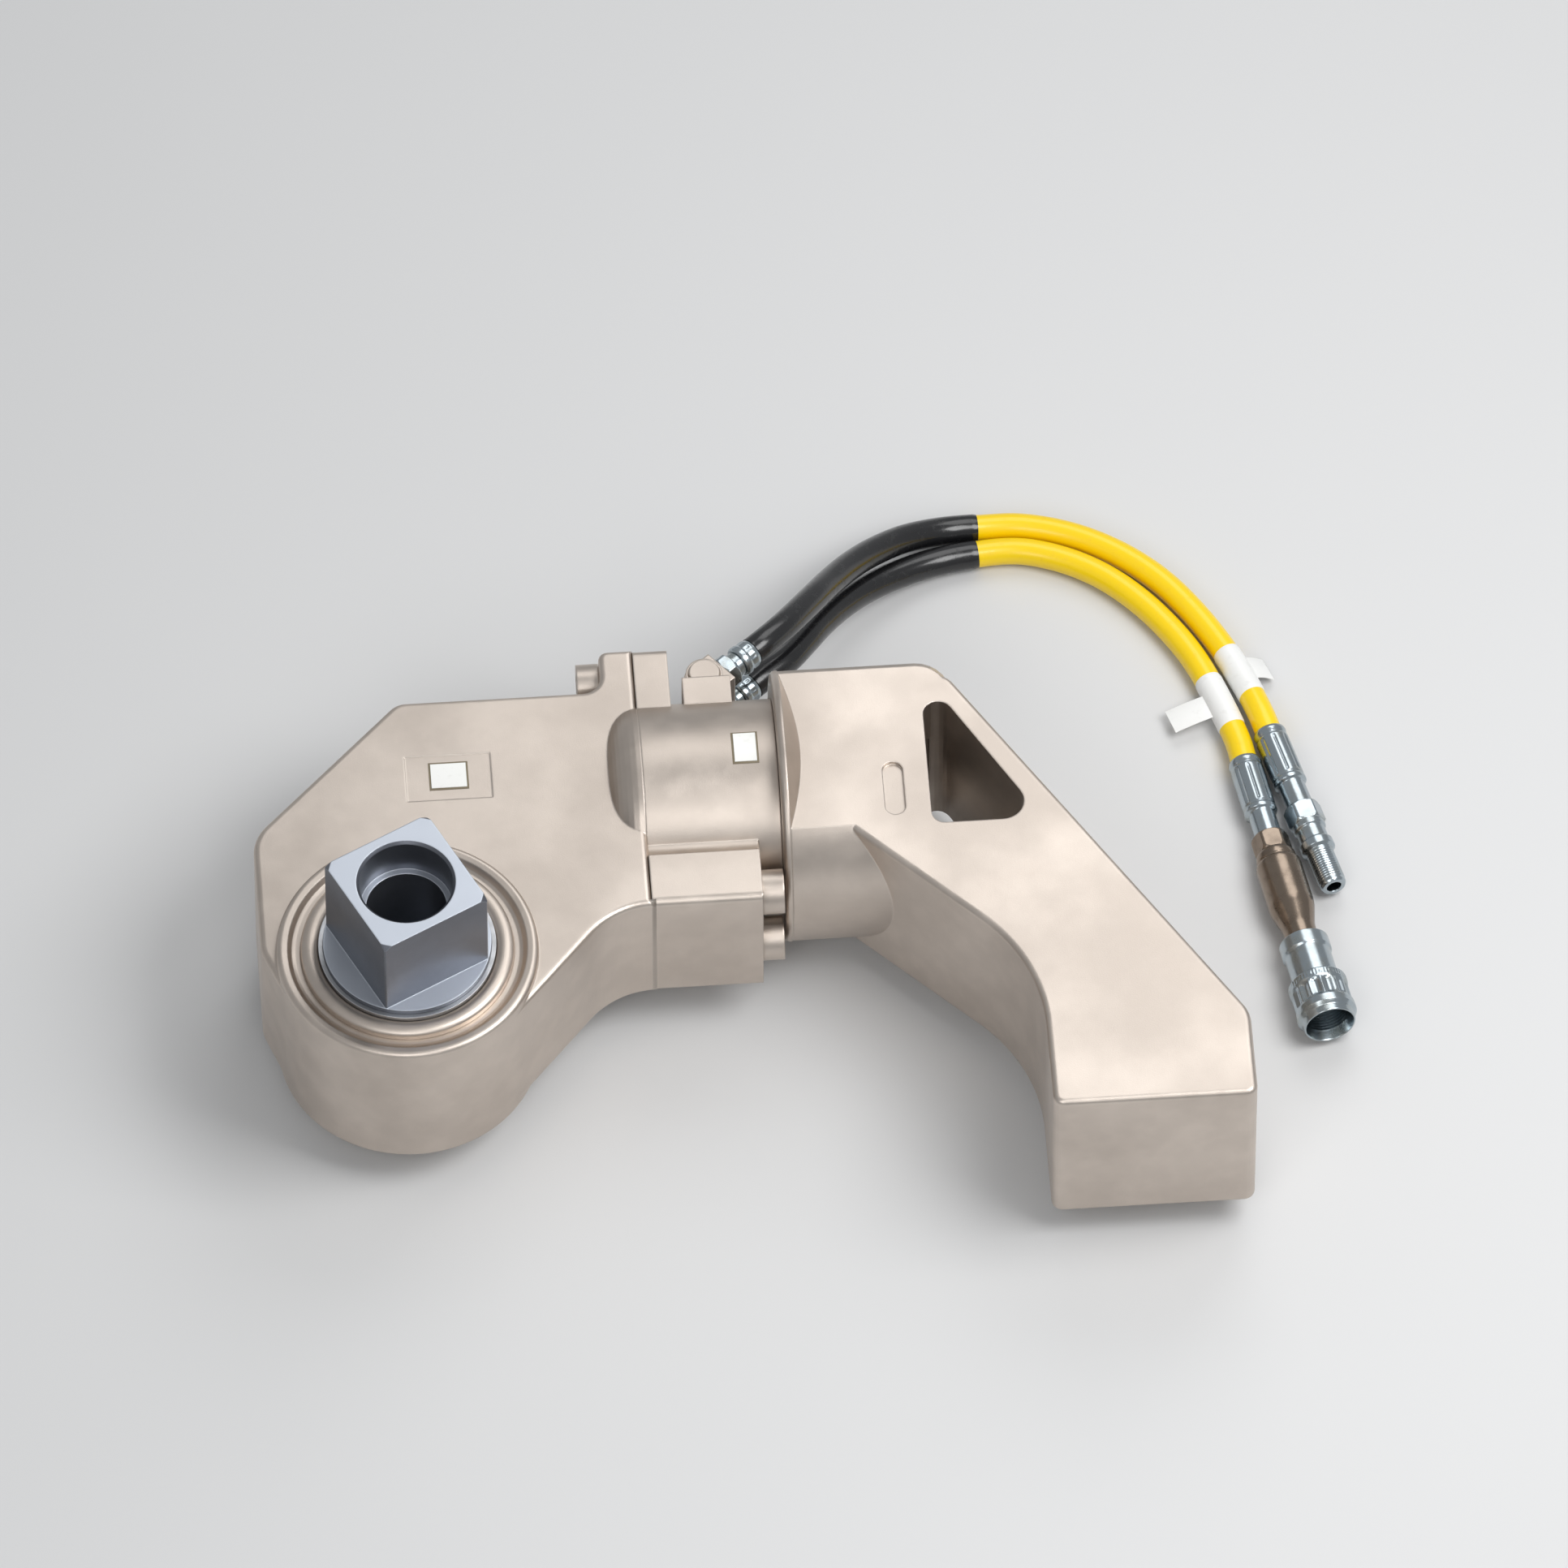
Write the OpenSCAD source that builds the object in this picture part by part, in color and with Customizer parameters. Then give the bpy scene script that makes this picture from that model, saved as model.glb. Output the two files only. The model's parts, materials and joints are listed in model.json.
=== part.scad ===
// Hydraulic torque wrench with square drive, ratchet head, cylinder, reaction arm and hoses.
// Origin: drive axis at the middle of the head. +X runs along the cylinder, +Z out of the square.

/* [Square drive] */
// Width across the flats of the square
square_af = 63.5; // [50:0.5:68]
// Length of the square beyond its shoulder
square_len = 56; // [40:1:80]
// Height of the shoulder above the middle of the head
shoulder_z = 54; // [53:0.5:60]
// Diameter of the counterbore in the end of the square
end_bore_d = 50; // [30:1:54]
// Depth of that counterbore
end_bore_depth = 24; // [10:1:36]
// Diameter of the deeper core bore
core_bore_d = 43; // [16:1:46]
// Depth of the core bore below the counterbore
core_bore_depth = 60; // [20:1:75]
// Radius of the upper journal
journal_r = 45; // [43:0.5:47]
// Radius of the lower journal
lower_journal_r = 38; // [30:0.5:40]

/* [Ratchet] */
// Number of teeth on the ratchet wheel
ratchet_teeth = 48; // [36:12:60]
// Radius over the ratchet teeth
ratchet_r = 52; // [50:0.5:53]
// Height of a ratchet tooth
tooth_h = 3.4; // [2:0.1:4]
// Half width of the ratchet wheel
ratchet_half = 20; // [16:0.5:20]

/* [Crank] */
// Distance from the drive axis to the cylinder axis
lever = 110; // [106:1:114]
// Angle of the crank with the piston drawn in
crank_start = 80; // [78:0.5:82]
// Radius of the crank hub
hub_r = 57; // [55:0.5:58]
// Thickness of a drive plate
plate_t = 9.4; // [7:0.1:9.6]
// Radius of the crank pin
crank_pin_r = 11; // [8:0.5:12]
// Radius of the eye round the crank pin
crank_eye_r = 18; // [16:0.5:19]

/* [Drive housing] */
// Half thickness of the head between its flat faces
head_half = 42; // [40:0.5:46]
// Half width of the space inside the head
cavity_half = 30; // [29.8:0.1:31]
// Radius of the round nose
nose_r = 70; // [68:0.5:74]
// Distance from the drive axis to the flat left edge
head_left = 78; // [75:1:90]
// Distance from the drive axis to the far edge
head_far = 163; // [158:1:170]
// Distance from the drive axis to the seam with the cylinder
seam_x = 132.5; // [128:0.5:150]
// Radius of the scoop between nose and cylinder
scoop_r = 48; // [30:1:60]
// Rounding of the outer edges
edge_r = 3; // [1:0.5:5]
// Height of the ring boss above the flat face
boss_h = 6; // [3:0.5:8]

/* [Cylinder] */
// Outer radius of the barrel
barrel_r = 58; // [54:0.5:60]
// Radius of the cylinder bore
bore_r = 34; // [30:0.5:35]
// Radius of the piston rod
rod_r = 19; // [14:0.5:20]
// Length of the barrel from the seam to the collar of the reaction arm
barrel_len = 72.5; // [68:0.5:90]
// Distance from the cylinder axis to the flange bolts
bolt_offset = 70; // [68:0.5:74]
// Distance of the flange bolts from the middle plane
bolt_z = 22; // [18:0.5:26]
// Length of the lower flange block along the barrel
block_len = 59.5; // [50:0.5:60]
// Length of each top lug along the barrel
lug_len = 18.5; // [16:0.5:24]

/* [Reaction arm] */
// Outer radius of the splined collar
collar_r = 73; // [70:0.5:78]
// Half thickness between the flats of the arm
arm_half = 52; // [52:0.5:54]
// Number of spline teeth between cylinder and arm
spline_teeth = 24; // [12:12:48]
// Tip radius of the cylinder's spline
spline_r = 47; // [46.5:0.5:48]
// Length of the spline
spline_len = 32; // [28:0.5:34]
// Distance from the rim of the collar to the window
window_x = 80; // [70:1:90]
// Reach of the foot from the cylinder axis
foot_reach = 237; // [210:1:280]
// Width of the foot along the cylinder axis
foot_w = 109; // [80:1:130]
// Radius of the relief bore behind the spline
relief_r = 32; // [20:1:36]

/* [Hoses] */
// Diameter of a hose
hose_d = 14.6; // [13:0.2:14.8]
// Diameter of the guard over the first stretch
guard_d = 15.6; // [15:0.2:16]
// Height between the two hoses at the manifold
hose_pitch = 32; // [28:0.5:36]

/* [Hidden] */
$fn = 96;

// Clearances
run_gap = 0.05;
seat_gap = 0.02;
side_gap = 0.3;

// Colours
nickel = [0.85, 0.81, 0.77];
phosphate = [0.33, 0.36, 0.41];
steel = [0.62, 0.63, 0.65];
bronze = [0.72, 0.58, 0.36];
zinc = [0.75, 0.77, 0.8];
coupler_nickel = [0.62, 0.56, 0.49];
rubber = [0.08, 0.08, 0.08];
yellow = [0.95, 0.75, 0.05];
seal_green = [0.2, 0.45, 0.3];

// Crank and ratchet
pitch_angle = 360 / ratchet_teeth;
swing = 2 * pitch_angle;
crank_pin_at = lever * unit(crank_start);
stroke = lever * (cos(crank_start) - cos(crank_start + swing));
plate_z = ratchet_half + side_gap;
root_r = ratchet_r - tooth_h;
pawl_half = ratchet_half - side_gap;
pawl_eye_r = 9;
pawl_pin_r = 5;
drive_pawl_r = ratchet_r + 10;
drive_pawl_lead = 18.5;
drive_tooth = 13 * pitch_angle;
drive_pawl_at = polar(drive_pawl_r, crank_start - drive_pawl_lead);
post_r = 3;
post_at = polar(84, crank_start + 14);
holding_pawl_at = [-60, 20];
holding_tooth = 27 * pitch_angle;
holding_lift = 6.5;
holding_pocket_r = 64;

// Spindle and its bearings
square_end = shoulder_z + square_len;
spindle_spline_r = lower_journal_r + 2.5;
bush_wall = 2.5;
lower_bush_wall = 6;
cover_r = journal_r + bush_wall + 9.5;
cover_z = 36;
cover_top = head_half + boss_h + 2;
bush_top = cover_top + 1;
lower_end = -shoulder_z;
cap_r = 42;
cap_t = 10;
cap_screw_r = 4;
cap_screw_ring = 30;
button_r = 14;
button_flange_r = 17;
button_flange_t = 4;
button_travel = 4;
button_pocket = button_flange_t + button_travel + 6;
button_proud = 6;

// Head outline
flank_angle = -41;
far_corner = 82;
left_low = 8;
lug_top = lever + bolt_offset + 9;
block_low = lever - bolt_offset - 17;
left_tangent = atan2(left_low, -head_left) + acos(nose_r / norm([head_left, left_low]));
nose_turn = 360 + flank_angle - left_tangent;
flank_n = unit(flank_angle);
neck_blend = 18;
head_outline = [
  [-head_left, head_far - far_corner, 25],
  [-head_left, left_low, 20],
  concat(nose_r / cos(nose_turn / 2) * unit(left_tangent + nose_turn / 2), nose_r),
  [(nose_r - flank_n[1] * block_low) / flank_n[0], block_low, scoop_r],
  [seam_x, block_low, 0.4],
  [seam_x, lug_top, 0.4],
  [seam_x - lug_len, lug_top, 5],
  [seam_x - lug_len, head_far, 10],
  [far_corner - head_left, head_far, 12]
];

// Cylinder and its inner pieces, as distances along X
collar_x = seam_x + barrel_len;
spline_end = collar_x + spline_len;
cylinder_end = spline_end - side_gap;
neck_seat = 5;
pilot_r = bore_r - 2;
pilot_len = 8;
gland_flange_r = bore_r + 8;
gland_flange_t = 5.5;
cap_thread_r = bore_r + 3;
cap_seat_x = cylinder_end - 16;
cap_face_x = cap_seat_x - 5;
piston_len = 24;
piston_face_x = cap_face_x - 0.5;
piston_back_x = piston_face_x - piston_len;
gland_end = piston_back_x - stroke - 1.5;
nut_pocket = 11;
nut_t = 9;
seal_at = 2.5;
seal_t = 6;
wear_at = 11;
wear_t = 5;
spigot_r = 13;
rod_end_r = 20;
rod_end_half = 19;
rod_shank_half = 15;
rod_shank_x = crank_pin_at[0] + 31;
bolt_r = 8;
bolt_head_r = 12;
bolt_head_h = 12;
bolt_grip = 17;
rod_seal_at = 14;
rod_seal_t = 7;
groove_t = 4.5;
dowel_r = 5;
dowel_half_len = 10.5;
block_top = 58;

// Reaction arm
spline_h = 3.5;
rim_len = 4;
rim_blend = 9;
back_round = 20;
back_dive = 62;
back_angle = -57.5;
window_left = collar_x + window_x;
back_top = [window_left + 14, lever + 45];
foot_low = lever - foot_reach;
foot_right = back_top[0] + 146;
foot_left = foot_right - foot_w;
diag_angle = -44.2;
diag_top = lever - 30;
diag_foot = diag_top + (foot_left - collar_x - 14) * tan(diag_angle);
window_low = lever - 52;
window_h = 100;
window_top = window_low + window_h;
window_slope = 1.697;
arm_outline = [
  [collar_x + 14, lever + 45, 1],
  [collar_x + 14, diag_top, 1],
  [foot_left, diag_foot, 100],
  [foot_left, foot_low, 6],
  [foot_right, foot_low, 6],
  [foot_right, back_top[1] + (foot_right - back_top[0]) * tan(back_angle), 20],
  [back_top[0], back_top[1], 12]
];
window_outline = [
  [window_left, window_top, 8],
  [window_left, window_low, 7],
  [window_left + (window_top - window_low) / window_slope, window_low, 12]
];
slot_at = [collar_x + 61, lever - 28];
slot_w = 11;
slot_len = 34;
slot_depth = 2;
lock_x = collar_x + 12;
lock_r = 4.5;
lock_head_r = 7;
lock_head_t = 3;
lock_travel = 3;
lock_tip = spline_r - spline_h - 0.5;
lock_groove_r = lock_tip - lock_travel - 1;
lock_cap_r = 9.5;
lock_cap_t = 4;
lock_face = collar_r - 2;
lock_pocket = lock_face - lock_cap_t - lock_head_t - lock_travel - 1;

// Manifold and hoses
swivel_r = 11;
swivel_bore_r = 6;
swivel_half_w = swivel_r - 0.5;
seal_wall = 2.5;
seal_h = 3;
seal_inset = 5;
fork_t = 5;
fork_r = 10;
pad_t = 2;
pad_w = 26;
pad_face = lever + barrel_r + pad_t;
pivot = [seam_x + 38.5, pad_face + 1 + swivel_r];
heading = 40;
ahead = unit(heading);
manifold_z = -6;
port_wall = 9.5;
block_low_z = manifold_z - hose_pitch / 2 - port_wall;
block_high_z = manifold_z + hose_pitch / 2 + port_wall;
seal_heights = [block_low_z + seal_inset, block_high_z - seal_inset - seal_h];
fork_high_z = block_high_z + side_gap;
fork_low_z = block_low_z - side_gap - fork_t;
pad_screw_r = 3;
pad_head_r = 5;
pad_head_h = 4;
pad_screw_len = 24;
pad_screw_wall = 7.5;
screw_heights = [fork_high_z + fork_t + pad_screw_wall, fork_low_z - pad_screw_wall];
adapter_s = 13;
ferrule_s = 25;
hose_s = 36;
front_exit = concat(pivot + hose_s * ahead, manifold_z - hose_pitch / 2);
rear_exit = concat(pivot + hose_s * ahead, manifold_z + hose_pitch / 2);
exit_step = concat(10 * ahead, 0);
front_heading = -80;
front_rise = 2.77;
rear_heading = -75.3;
front_end = [462.4, 164.4, -63];
rear_end = [477, 182.4, -62];
front_axis = concat(cos(front_rise) * unit(front_heading), sin(front_rise));
guard_points = 9;
front_route = concat([front_exit, front_exit + exit_step], [
  [218.6, 222.2, -24], [229.2, 237.1, -29], [239, 252.9, -36], [250.7, 269, -44], [264.8, 284.2, -52],
  [282.6, 297.6, -59], [304.2, 308, -63.8], [328.4, 312.8, -65],
  [352, 313.4, -65.4], [375, 306.2, -65.5], [395.6, 293.8, -65.5], [413.4, 276.9, -65.5], [428, 257.8, -65.4],
  [439.8, 237.5, -65.2], [449.4, 213.5, -64.6], front_end - 18 * front_axis, front_end
]);
rear_route = concat([rear_exit, rear_exit + exit_step], [
  [218.9, 226.1, 5], [233.5, 248.6, -7], [245.4, 268.9, -20], [257.6, 287.2, -32], [271.4, 303.2, -43],
  [289, 318, -54], [308.6, 327.2, -62.2], [329.4, 330, -65],
  [354, 329.6, -65.4], [380, 322.2, -65.5], [404, 308.8, -65.5], [425, 290.4, -65.5], [442, 267.8, -65.4],
  [456.2, 242.6, -65.2], [467, 216.4, -64], rear_end - concat(14 * unit(rear_heading), 0), rear_end
]);
ferrule_r = 9.2;
ferrule_len = 53;
body_start = ferrule_len + 12;
body_len = 70;
collar_start = body_start + body_len - 14;
collar_len = 62;
mouth_r = 11.5;
mouth_depth = 40;
spin_r = 11;
nipple_len = 42;

// Plane geometry
function unit(a) = [cos(a), sin(a)];
function polar(r, a) = r * unit(a);
function left_of(d) = [-d[1], d[0]];
function heading_of(p, q) = (q - p) / norm(q - p);
function wrap(i, n) = (i + n) % n;
function xy(v) = [v[0], v[1]];

// One rounded corner of an outline, taken in by inset; the outline runs with its inside on the left.
function corner(a, b, c, inset) =
  let (
    d0 = heading_of(xy(a), xy(b)),
    d1 = heading_of(xy(b), xy(c)),
    n0 = left_of(d0),
    n1 = left_of(d1),
    turn = atan2(d0[0] * d1[1] - d0[1] * d1[0], d0 * d1),
    side = turn > 0 ? 1 : -1,
    r = max(0.2, b[2] - side * inset),
    tip = xy(b) + inset * (n0 + n1) / (1 + n0 * n1),
    middle = tip - d0 * r * tan(abs(turn) / 2) + n0 * r * side,
    steps = ceil(abs(turn) * b[2] / 220) + 3,
    start = atan2(-n0[1] * side, -n0[0] * side)
  )
  [for (k = [0:steps]) middle + polar(r, start + turn * k / steps)];

function rounded(v, inset = 0) =
  [for (i = [0:len(v) - 1]) each corner(v[wrap(i - 1, len(v))], v[i], v[wrap(i + 1, len(v))], inset)];

// Plate with a rounded outline and rounded rims; children are joined to it and faced off with it
module rounded_plate(v, half, rim) {
  arc = [for (a = [0, 22.5, 45, 67.5]) [rim * (1 - cos(a)), half - rim * (1 - sin(a))]];
  beyond = 2 * [rim, half] - arc[len(arc) - 1];
  upper = concat(arc, [beyond]);
  lower = [for (i = [len(upper) - 1:-1:0]) [upper[i][0], -upper[i][1]]];
  intersection() {
    union() {
      skin([for (l = concat(lower, upper)) [for (p = rounded(v, l[0])) concat(p, l[1])]]);
      children();
    }
    cube([2000, 2000, 2 * half], center = true);
  }
}

// Closed solid through a list of rings that have the same number of points
module skin(rings) {
  n = len(rings[0]);
  last = len(rings) - 1;
  polyhedron(
    [for (r = rings) each r],
    concat(
      [[for (i = [0:n - 1]) i]],
      [for (j = [0:last - 1], i = [0:n - 1])
        each [[j * n + i, (j + 1) * n + i, j * n + wrap(i + 1, n)],
          [j * n + wrap(i + 1, n), (j + 1) * n + i, (j + 1) * n + wrap(i + 1, n)]]],
      [[for (i = [n - 1:-1:0]) last * n + i]]
    )
  );
}

// Tube along a route of points
module tube(route, d, from, to, sides = 10) {
  rings = [for (i = [from:to])
    let (
      t = heading_of(route[max(i - 1, 0)], route[min(i + 1, len(route) - 1)]),
      u = heading_of([0, 0, 0], cross([0, 0, 1], t)),
      w = cross(t, u)
    )
    [for (k = [0:sides - 1]) route[i] + d / 2 * (cos(-360 * k / sides) * u + sin(-360 * k / sides) * w)]];
  skin(rings);
}

// Shape with its axis along X, through the cylinder axis
module along_cylinder(x) {
  translate([x, lever, 0]) rotate([90, 0, 90]) children();
}

// Shape with its axis level, at a point of a hose end
module along_floor(at, direction, rise = 0) {
  translate(at) rotate([0, -rise, direction]) rotate([90, 0, 90]) children();
}

// Ring between two radii
module ring(outer, inner, h) {
  difference() {
    cylinder(r = outer, h = h);
    translate([0, 0, -1]) cylinder(r = inner, h = h + 2);
  }
}

// Two eyes joined by their tangents, the second at distance d along X
module link(r1, r2, d) {
  a = acos((r1 - r2) / d);
  circle(r1);
  translate([d, 0]) circle(r2);
  polygon([polar(r1, a), polar(r1, -a), [d, 0] + polar(r2, -a), [d, 0] + polar(r2, a)]);
}

// Spline section, its teeth widened and lengthened by grow
module spline(root, tip, teeth, grow = 0) {
  half = 90 / teeth;
  circle(root + grow);
  for (i = [0:teeth - 1]) rotate(i * 360 / teeth) polygon([
    [root - 2, -root * sin(half) * 1.1 - grow], [tip + grow, -tip * sin(half) * 0.7 - grow],
    [tip + grow, tip * sin(half) * 0.7 + grow], [root - 2, root * sin(half) * 1.1 + grow]
  ]);
}

// Pawl that stands against a tooth face, with its eye on the pivot
module pawl(eye, face, thick) {
  back = atan2(eye[1], eye[0]);
  difference() {
    linear_extrude(2 * pawl_half) {
      translate(eye) circle(pawl_eye_r);
      polygon([
        polar(ratchet_r + 0.5, face - pitch_angle), polar(ratchet_r + 3.2, face - 2 * pitch_angle),
        eye + polar(pawl_eye_r - 1, back - 150), eye + polar(pawl_eye_r - 1, back + 40),
        polar(ratchet_r + thick + 0.5, face - 6), polar(ratchet_r + thick, face - 0.4),
        polar(root_r + 0.5, face - 0.4)
      ]);
    }
    translate([eye[0], eye[1], -1]) cylinder(r = pawl_pin_r + run_gap, h = 2 * pawl_half + 2);
  }
}

// Seats of the flange bolts, with Z along the shank: heads behind the head's lug and behind the block
module top_bolts_at() {
  for (z = [-bolt_z, bolt_z])
    translate([seam_x - lug_len, lever + bolt_offset, z]) rotate([0, 90, 0]) children();
}

module low_bolts_at() {
  for (z = [-bolt_z, bolt_z])
    translate([seam_x + block_len, lever - bolt_offset, z]) rotate([0, -90, 0]) children();
}

module bolt_holes() {
  top_bolts_at() translate([0, 0, -1]) cylinder(r = bolt_r + seat_gap, h = lug_len + bolt_grip + 3);
  low_bolts_at() translate([0, 0, -1]) cylinder(r = bolt_r + seat_gap, h = block_len + bolt_grip + 3);
}

// Drum round the drive axis, its ends grooved and rounded
module nose_drum() {
  top = head_half + boss_h;
  rim = 3;
  wall = nose_r + 0.1;
  end_profile = concat(
    [[cover_r - 20, top - 3.5], [cover_r + 3, top - 3.5], [cover_r + 4.8, top - 2.9]],
    [[cover_r + 6.2, top - 1.4], [cover_r + 7.2, top - 0.3]],
    [for (a = [90:-15:0]) [wall - rim, top - rim] + polar(rim, a)]
  );
  low_profile = [for (i = [len(end_profile) - 1:-1:0]) [end_profile[i][0], -end_profile[i][1]]];
  rotate_extrude() polygon(concat(end_profile, low_profile));
}

module drive_housing() color(nickel) difference() {
  union() {
    rounded_plate(head_outline, head_half, edge_r);
    nose_drum();
    along_cylinder(seam_x) rotate_extrude() polygon(concat(
      [[0, 0]],
      [for (a = [0:10:90]) [barrel_r - neck_blend * (1 - cos(a)), -neck_blend * sin(a)]],
      [[0, -neck_blend]]
    ));
  }
  head_cavity();
  for (side = [0, 1]) mirror([0, 0, side]) {
    wall = side == 0 ? journal_r + bush_wall : lower_journal_r + lower_bush_wall;
    translate([0, 0, cavity_half - 1]) cylinder(r = wall + seat_gap, h = 60);
    translate([0, 0, cover_z]) cylinder(r = cover_r + seat_gap, h = 60);
  }
  translate([holding_pawl_at[0], holding_pawl_at[1], -36]) cylinder(r = pawl_pin_r, h = 72);
  along_cylinder(seam_x - pilot_len) cylinder(r = pilot_r + seat_gap, h = pilot_len + 1);
  bolt_holes();
  top_bolts_at() translate([0, 0, -60]) cylinder(r = bolt_head_r + 1, h = 60);
  dowels_at() cylinder(r = dowel_r, h = dowel_half_len + 1);
  plate_recess();
}

// Bare shallow recess on the flat face
module plate_recess() {
  translate([6, 98, head_half - 0.5]) cube([46, 29, 2]);
}

module head_cavity() {
  translate([0, 0, -cavity_half]) linear_extrude(2 * cavity_half) {
    for (a = [crank_start, crank_start + swing / 2, crank_start + swing])
      rotate(a) link(hub_r + 3, crank_eye_r + 4, lever);
  }
  translate([0, 0, -pawl_half - side_gap]) linear_extrude(2 * (pawl_half + side_gap)) {
    intersection() {
      circle(holding_pocket_r);
      polygon([[0, 0], polar(90, 158), polar(90, holding_tooth - 20), polar(90, holding_tooth + 4)]);
    }
    translate(holding_pawl_at) circle(pawl_eye_r + 1.2);
    polygon([
      holding_pawl_at + polar(pawl_eye_r + 1.2, 165), holding_pawl_at + [-2, 0],
      polar(holding_pocket_r - 2, 195), polar(holding_pocket_r, 188)
    ]);
  }
  translate([0, lever - rod_end_r - 2, -rod_end_half - 3])
    cube([rod_shank_x + 10, 2 * rod_end_r + 4, 2 * rod_end_half + 6]);
  along_cylinder(40) cylinder(r = rod_r + 3, h = seam_x - 40 + 1);
}

module dowels_at() {
  for (y = [-bolt_offset, bolt_offset]) for (turn = [90, -90])
    translate([seam_x, lever + y, 0]) rotate([0, turn, 0]) children();
}

module cylinder_housing() color(nickel) difference() {
  union() {
    along_cylinder(seam_x) cylinder(r = barrel_r, h = barrel_len - side_gap);
    along_cylinder(collar_x - neck_seat) linear_extrude(neck_seat + spline_len - side_gap)
      spline(spline_r - spline_h, spline_r, spline_teeth);
    along_cylinder(seam_x) linear_extrude(lug_len) translate([-lever, 0]) polygon(rounded([
      [lever, -head_half, 1], [lug_top, -head_half, 5], [lug_top, head_half, 5], [lever, head_half, 1]
    ]));
    along_cylinder(seam_x) linear_extrude(block_len) translate([-lever, 0]) difference() {
      polygon(rounded([
        [block_low, -head_half, 4], [lever, -head_half, 1], [lever, head_half, 1], [block_low, head_half, 4]
      ]));
      for (z = [-1, 1]) translate([block_top + 5, z * (head_half + 3)]) circle(9);
    }
  }
  along_cylinder(seam_x - 1) cylinder(r = bore_r, h = 200);
  along_cylinder(seam_x - 1) cylinder(r = gland_flange_r + seat_gap, h = gland_flange_t + 1);
  along_cylinder(cap_seat_x) cylinder(r = cap_thread_r + seat_gap, h = 60);
  along_cylinder(lock_x - lock_r - 0.5) ring(collar_r, lock_groove_r, 2 * lock_r + 1);
  bolt_holes();
  dowels_at() cylinder(r = dowel_r, h = dowel_half_len + 1);
  pad_screws_at() cylinder(r = pad_screw_r, h = pad_screw_len + 2);
}

// Socket head cap screw that bears at z = 0
module cap_screw(r, head_r, head_h, shank) {
  difference() {
    union() {
      translate([0, 0, -head_h]) cylinder(r = head_r, h = head_h);
      cylinder(r = r, h = shank);
    }
    translate([0, 0, -head_h - 1]) cylinder(r = head_r * 0.62, h = head_h * 0.6 + 1, $fn = 6);
  }
}

module housing_bolts() color(nickel) {
  top_bolts_at() cap_screw(bolt_r, bolt_head_r, bolt_head_h, lug_len + bolt_grip);
  low_bolts_at() cap_screw(bolt_r, bolt_head_r, bolt_head_h, block_len + bolt_grip);
}

module locating_dowels() color(steel) for (y = [-bolt_offset, bolt_offset])
  translate([seam_x - dowel_half_len, lever + y, 0]) rotate([0, 90, 0])
    cylinder(r = dowel_r - seat_gap, h = 2 * dowel_half_len);

module upper_bush() color(steel) translate([0, 0, cavity_half])
  ring(journal_r + bush_wall, journal_r + run_gap, bush_top - cavity_half);

module lower_bush() color(bronze) translate([0, 0, -bush_top])
  ring(lower_journal_r + lower_bush_wall, lower_journal_r + run_gap, bush_top - cavity_half);

// Ring that is screwed in round a bush, its outer face crowned
module cover_ring(inner) {
  crown = 3;
  width = cover_r - inner;
  rotate_extrude() polygon(concat(
    [[inner, cover_z], [cover_r, cover_z]],
    [for (a = [0:15:180]) [(cover_r + inner) / 2, cover_top - crown] + [width / 2 * cos(a), crown * sin(a)]]
  ));
}

module upper_cover_ring() color(nickel) cover_ring(journal_r + bush_wall + seat_gap);

module lower_cover_ring() color(nickel) mirror([0, 0, 1])
  cover_ring(lower_journal_r + lower_bush_wall + seat_gap);

module holding_pawl_pin() color(steel) translate([holding_pawl_at[0], holding_pawl_at[1], -35.9])
  cylinder(r = pawl_pin_r - seat_gap, h = 71.8);

// Leaf between the pocket wall and the back of the pawl
module holding_pawl_spring() color(steel) translate([0, 0, -8]) linear_extrude(16) intersection() {
  difference() {
    circle(holding_pocket_r);
    circle(holding_pocket_r - 0.6);
  }
  polygon([[0, 0], polar(90, holding_tooth - 12), polar(90, holding_tooth + 1)]);
}

module gland() color(bronze) along_cylinder(0) difference() {
  union() {
    translate([0, 0, seam_x - pilot_len]) cylinder(r = pilot_r, h = pilot_len + 1);
    translate([0, 0, seam_x]) cylinder(r = gland_flange_r, h = gland_flange_t);
    translate([0, 0, seam_x]) cylinder(r = bore_r - run_gap, h = gland_end - seam_x);
  }
  cylinder(r = rod_r + run_gap, h = 400);
  translate([0, 0, gland_end - rod_seal_at]) cylinder(r = rod_r + 5, h = rod_seal_t);
  translate([0, 0, gland_end - 2 * groove_t]) ring(bore_r + 4, bore_r - 4, groove_t);
}

module rod_seal() color(seal_green) along_cylinder(gland_end - rod_seal_at)
  ring(rod_r + 5, rod_r + 2 * run_gap, rod_seal_t);

module o_ring(x, r) {
  along_cylinder(x) rotate_extrude() translate([r, 0]) circle(1.9, $fn = 24);
}

module gland_o_ring() color(rubber) o_ring(gland_end - 1.5 * groove_t, bore_r - 2.05);

module end_cap() color(steel) along_cylinder(0) difference() {
  union() {
    translate([0, 0, cap_face_x]) cylinder(r = bore_r - run_gap, h = cap_seat_x - cap_face_x + 1);
    translate([0, 0, cap_seat_x]) cylinder(r = cap_thread_r, h = cylinder_end - cap_seat_x - 0.4);
  }
  translate([0, 0, cylinder_end - 9]) cylinder(r = 14, h = 20, $fn = 6);
  translate([0, 0, cap_seat_x - groove_t]) ring(bore_r + 4, bore_r - 4, groove_t);
}

module end_cap_o_ring() color(rubber) o_ring(cap_seat_x - groove_t / 2, bore_r - 2.05);

// Seats of the bracket's screw heads, with Z along the shank
module pad_screws_at() {
  for (z = screw_heights) translate([pivot[0], pad_face - pad_head_h - 1, z]) rotate([90, 0, 0]) children();
}

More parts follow.
